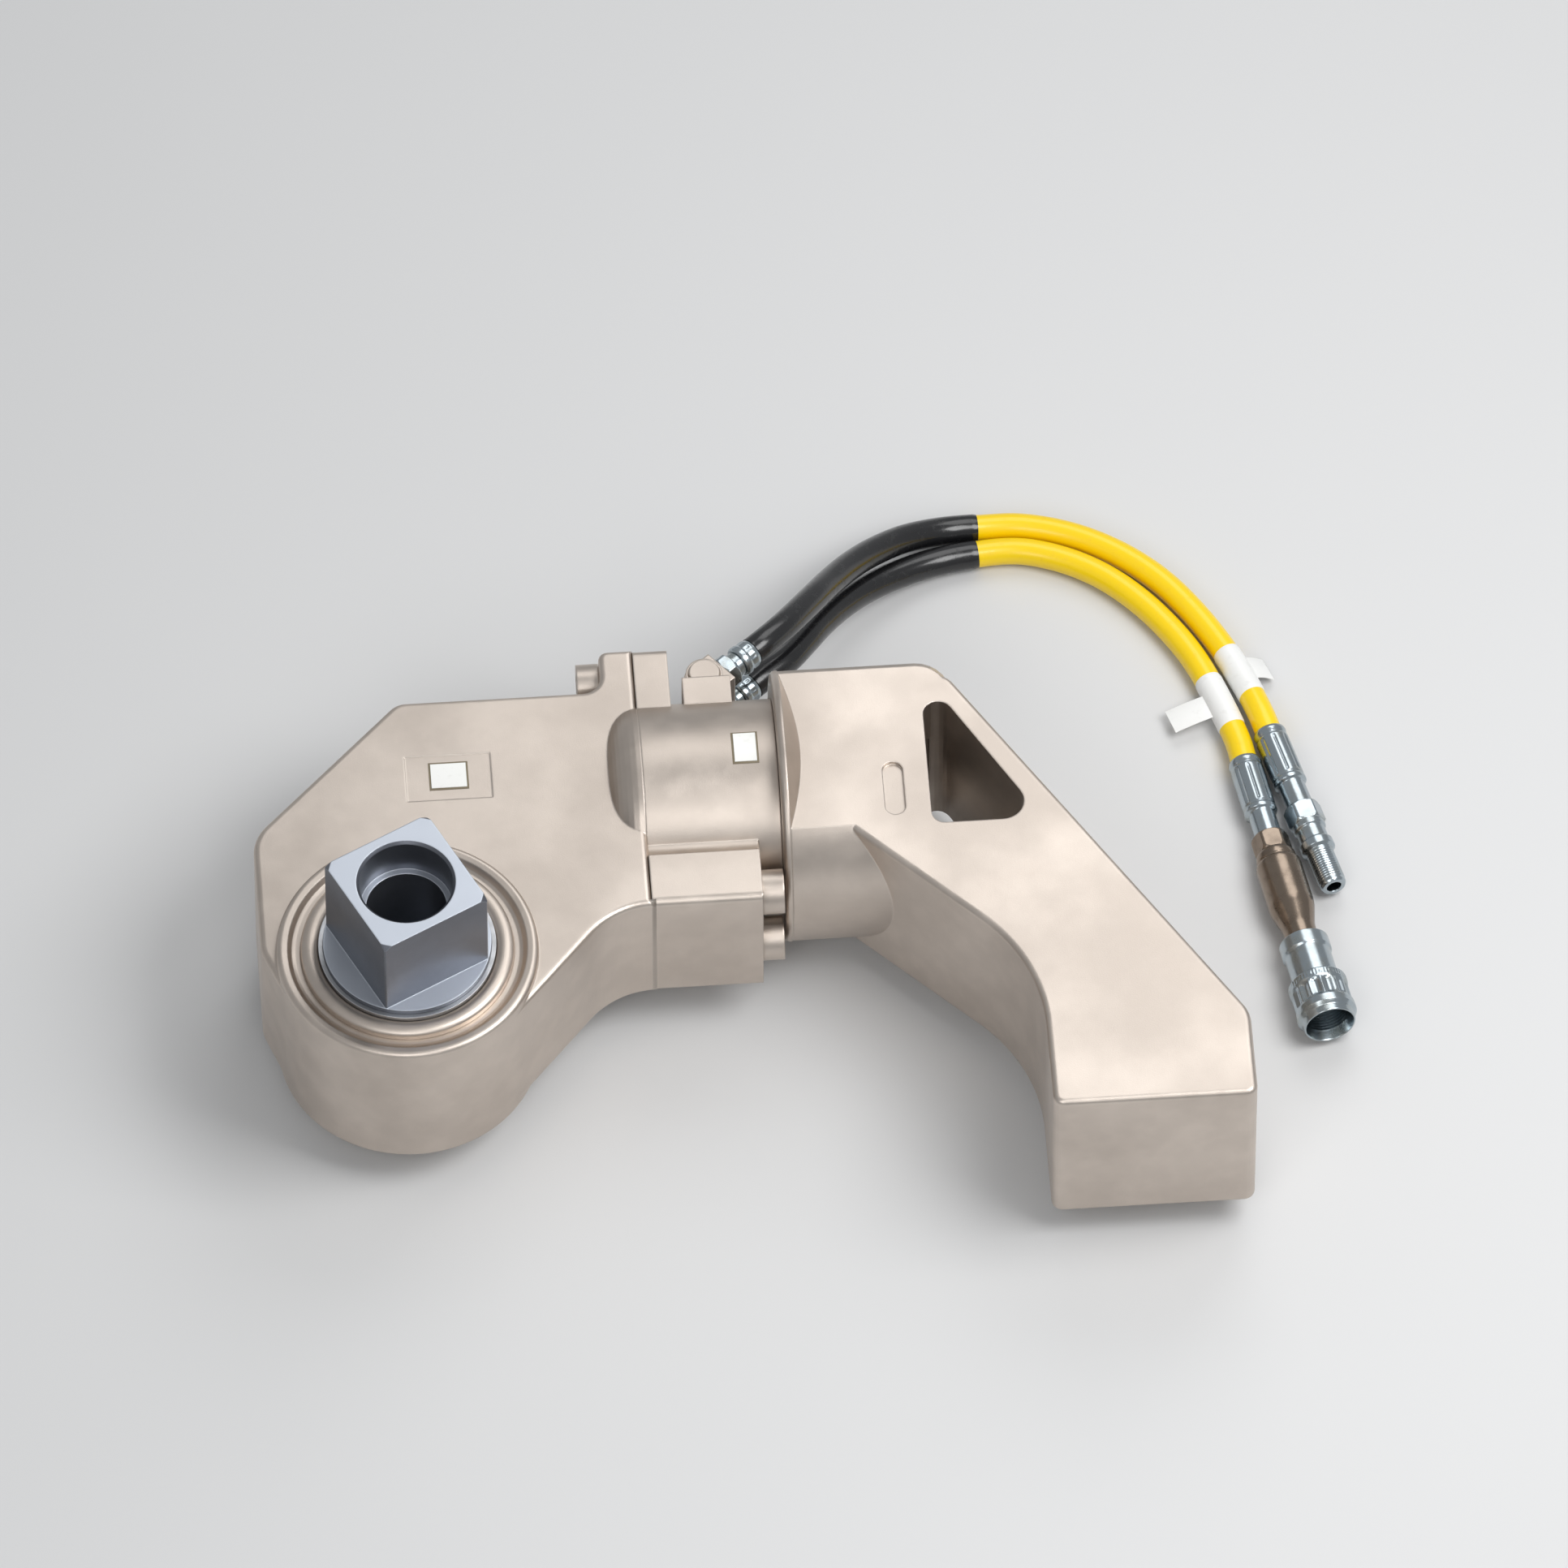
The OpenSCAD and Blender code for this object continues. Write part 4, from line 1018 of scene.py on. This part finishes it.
@dataclass
class Studio:
    """Floor, lights and camera."""

    floor: float
    target: tuple[float, float, float] = (208 * MM, 95.5 * MM, 42 * MM)
    azimuth: float = -4.0
    elevation: float = 55.5
    distance: float = 14.0
    lens: float = 600.0
    floor_half: float = 6.0
    sky_strength: float = 0.47

    def build(self) -> None:
        """Makes the stage."""
        self.camera()
        self.ground()
        self.sky()
        self.lamp("key", (1.05, -0.25, 1.45), 0.9, 18.0)
        self.lamp("front", (-0.15, -1.2, 1.35), 0.8, 6.5)
        self.lamp("back", (0.75, 1.3, 1.6), 1.2, 9.5)

    def camera(self) -> None:
        """Camera at the photograph's viewing angle."""
        a, e = math.radians(self.azimuth), math.radians(self.elevation)
        back = Vector((math.sin(a) * math.cos(e), -math.cos(a) * math.cos(e), math.sin(e)))
        data = bpy.data.cameras.new("camera")
        data.lens = self.lens
        data.sensor_width = 36.0
        data.clip_start = 0.05
        data.clip_end = 60.0
        cam = bpy.data.objects.new("camera", data)
        cam.location = Vector(self.target) + back * self.distance
        cam.rotation_euler = (-back).to_track_quat("-Z", "Y").to_euler()
        bpy.context.scene.collection.objects.link(cam)
        bpy.context.scene.camera = cam

    def ground(self) -> None:
        """Pale floor that keeps the object's shadow."""
        tree = ShaderTree("pale_floor")
        speck = tree.noise(9.0, 3.0)
        colour = tree.mix(speck * 0.2, (0.66, 0.66, 0.66), (0.63, 0.63, 0.635))
        material = tree.surface(Base_Color=colour, Roughness=0.75)
        mesh = bpy.data.meshes.new("floor")
        half, z = self.floor_half, self.floor
        corners = [(-half, -half, z), (half, -half, z), (half, half, z), (-half, half, z)]
        mesh.from_pydata(corners, [], [(0, 1, 2, 3)])
        mesh.materials.append(material)
        obj = bpy.data.objects.new("floor", mesh)
        bpy.context.scene.collection.objects.link(obj)
        obj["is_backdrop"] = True

    def sky(self) -> None:
        """Even pale light from all round."""
        world = bpy.data.worlds.new("soft_studio")
        world.use_nodes = True
        back = world.node_tree.nodes["Background"]
        back.inputs["Color"].default_value = (0.86, 0.88, 0.90, 1.0)
        back.inputs["Strength"].default_value = self.sky_strength
        bpy.context.scene.world = world

    def lamp(self, name: str, place: tuple[float, float, float], size: float, power: float) -> None:
        """Square soft lamp that points at the target.

        Args:
            name: Name of the lamp.
            place: Where it stands.
            size: Length of its side.
            power: Watts.
        """
        data = bpy.data.lights.new(name, "AREA")
        data.size = size
        data.energy = power
        obj = bpy.data.objects.new(name, data)
        obj.location = place
        obj.rotation_euler = (Vector(self.target) - Vector(place)).to_track_quat("-Z", "Y").to_euler()
        bpy.context.scene.collection.objects.link(obj)


@dataclass
class Wrench:
    """The whole tool: the frame's own pieces get their finishes, hoses and fittings are built anew."""

    frame: dict[str, Any]
    palette: Palette
    pivot: tuple[float, float] = (171.0, 182.0)
    heading: float = 40.0
    levels: tuple[float, float] = (-22.0, 10.0)
    port_s: float = 13.0
    hose_s: float = 36.0
    front_end: Axis = Axis((462.4, 164.4, -63.0), -80.0, 2.77)
    rear_end: Axis = Axis((477.0, 182.4, -62.0), -75.3)
    straight_out: float = 10.0
    least_spring: float = 0.1

    def build(self) -> None:
        """Dresses every node and builds hoses and fittings."""
        for part in self.frame["record"]["subparts"]:
            self.palette.dress(self.frame["nodes"][part["node"]], part["material_slot"])
        ports = tuple(Axis(Axis((*self.pivot, z), self.heading).point(self.port_s), self.heading)
                      for z in self.levels)
        front, rear = HoseEnds(self.front_end, self.rear_end, ports).build(self.palette)
        self.front_line().build(self.palette, front)
        self.rear_line().build(self.palette, rear)
        BlankPlates().build(self.palette)
        self.springs()

    def springs(self) -> None:
        """Finds the seat of each coil spring, at the end that it rests on, and gives the spring a mesh of its
        own.
        """
        for node, joint, axis, seat_low, travel in (
            ("lock_spring", "arm_lock_press", 1, True, 3 * MM),
            ("button_spring", "retainer_press", 2, False, 4 * MM),
        ):
            obj = self.frame["nodes"][node]
            corners = np.array([obj.matrix_world @ Vector(c) for c in obj.bound_box])
            low, high = corners.min(axis=0), corners.max(axis=0)
            seat = (low + high) / 2
            seat[axis] = low[axis] if seat_low else high[axis]
            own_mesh(obj)

    def route(self, level: float, middle: list[tuple[float, float, float]], end: Axis,
              last: float) -> np.ndarray:
        """Route of a hose in metres: straight out of the manifold, through the middle, straight into its end.

        Args:
            level: Height at which the hose leaves the manifold, in millimetres.
            middle: Middle points in millimetres.
            end: Axis of the fitting that the hose ends in.
            last: Length of the last span in millimetres.

        Returns:
            The points of the route.
        """
        out = Axis((*self.pivot, level), self.heading)
        first = [out.point(self.hose_s), out.point(self.hose_s + self.straight_out)]
        return np.array([*first, *middle, end.point(-last), end.start]) * MM

    def front_line(self) -> HoseLine:
        """The lower hose, nearer to the viewer."""
        middle = [
            (218.6, 222.2, -24), (229.2, 237.1, -29), (239, 252.9, -36), (250.7, 269, -44),
            (264.8, 284.2, -52), (282.6, 297.6, -59), (304.2, 308, -63.8), (328.4, 312.8, -65),
            (352, 313.4, -65.4), (375, 306.2, -65.5), (395.6, 293.8, -65.5), (413.4, 276.9, -65.5),
            (428, 257.8, -65.4), (439.8, 237.5, -65.2), (449.4, 213.5, -64.6),
        ]
        flag = Flag(side=-1.0, reach=25 * MM, rise=2 * MM, droop=3 * MM)
        route = self.route(self.levels[0], middle, self.front_end, 18)
        return HoseLine("front", route, flag, (24 * MM, 58 * MM))

    def rear_line(self) -> HoseLine:
        """The upper hose, further from the viewer."""
        middle = [
            (218.9, 226.1, 5), (233.5, 248.6, -7), (245.4, 268.9, -20), (257.6, 287.2, -32),
            (271.4, 303.2, -43), (289, 318, -54), (308.6, 327.2, -62.2), (329.4, 330, -65),
            (354, 329.6, -65.4), (380, 322.2, -65.5), (404, 308.8, -65.5), (425, 290.4, -65.5),
            (442, 267.8, -65.4), (456.2, 242.6, -65.2), (467, 216.4, -64),
        ]
        flag = Flag(side=1.0, reach=13 * MM, rise=3 * MM, droop=9 * MM)
        route = self.route(self.levels[1], middle, self.rear_end, 14)
        return HoseLine("rear", route, flag, (26 * MM, 59 * MM))


def main() -> None:
    """Builds the scene in order."""
    logging.basicConfig(level=logging.INFO, format="%(name)s: %(message)s")
    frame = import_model()
    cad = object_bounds()
    bpy.context.scene.view_settings.view_transform = "Standard"
    palette = Palette()
    palette.build()
    Wrench(frame, palette).build()
    Studio(floor=cad[0].z - FLOOR_GAP).build()


if __name__ == "__main__":
    main()
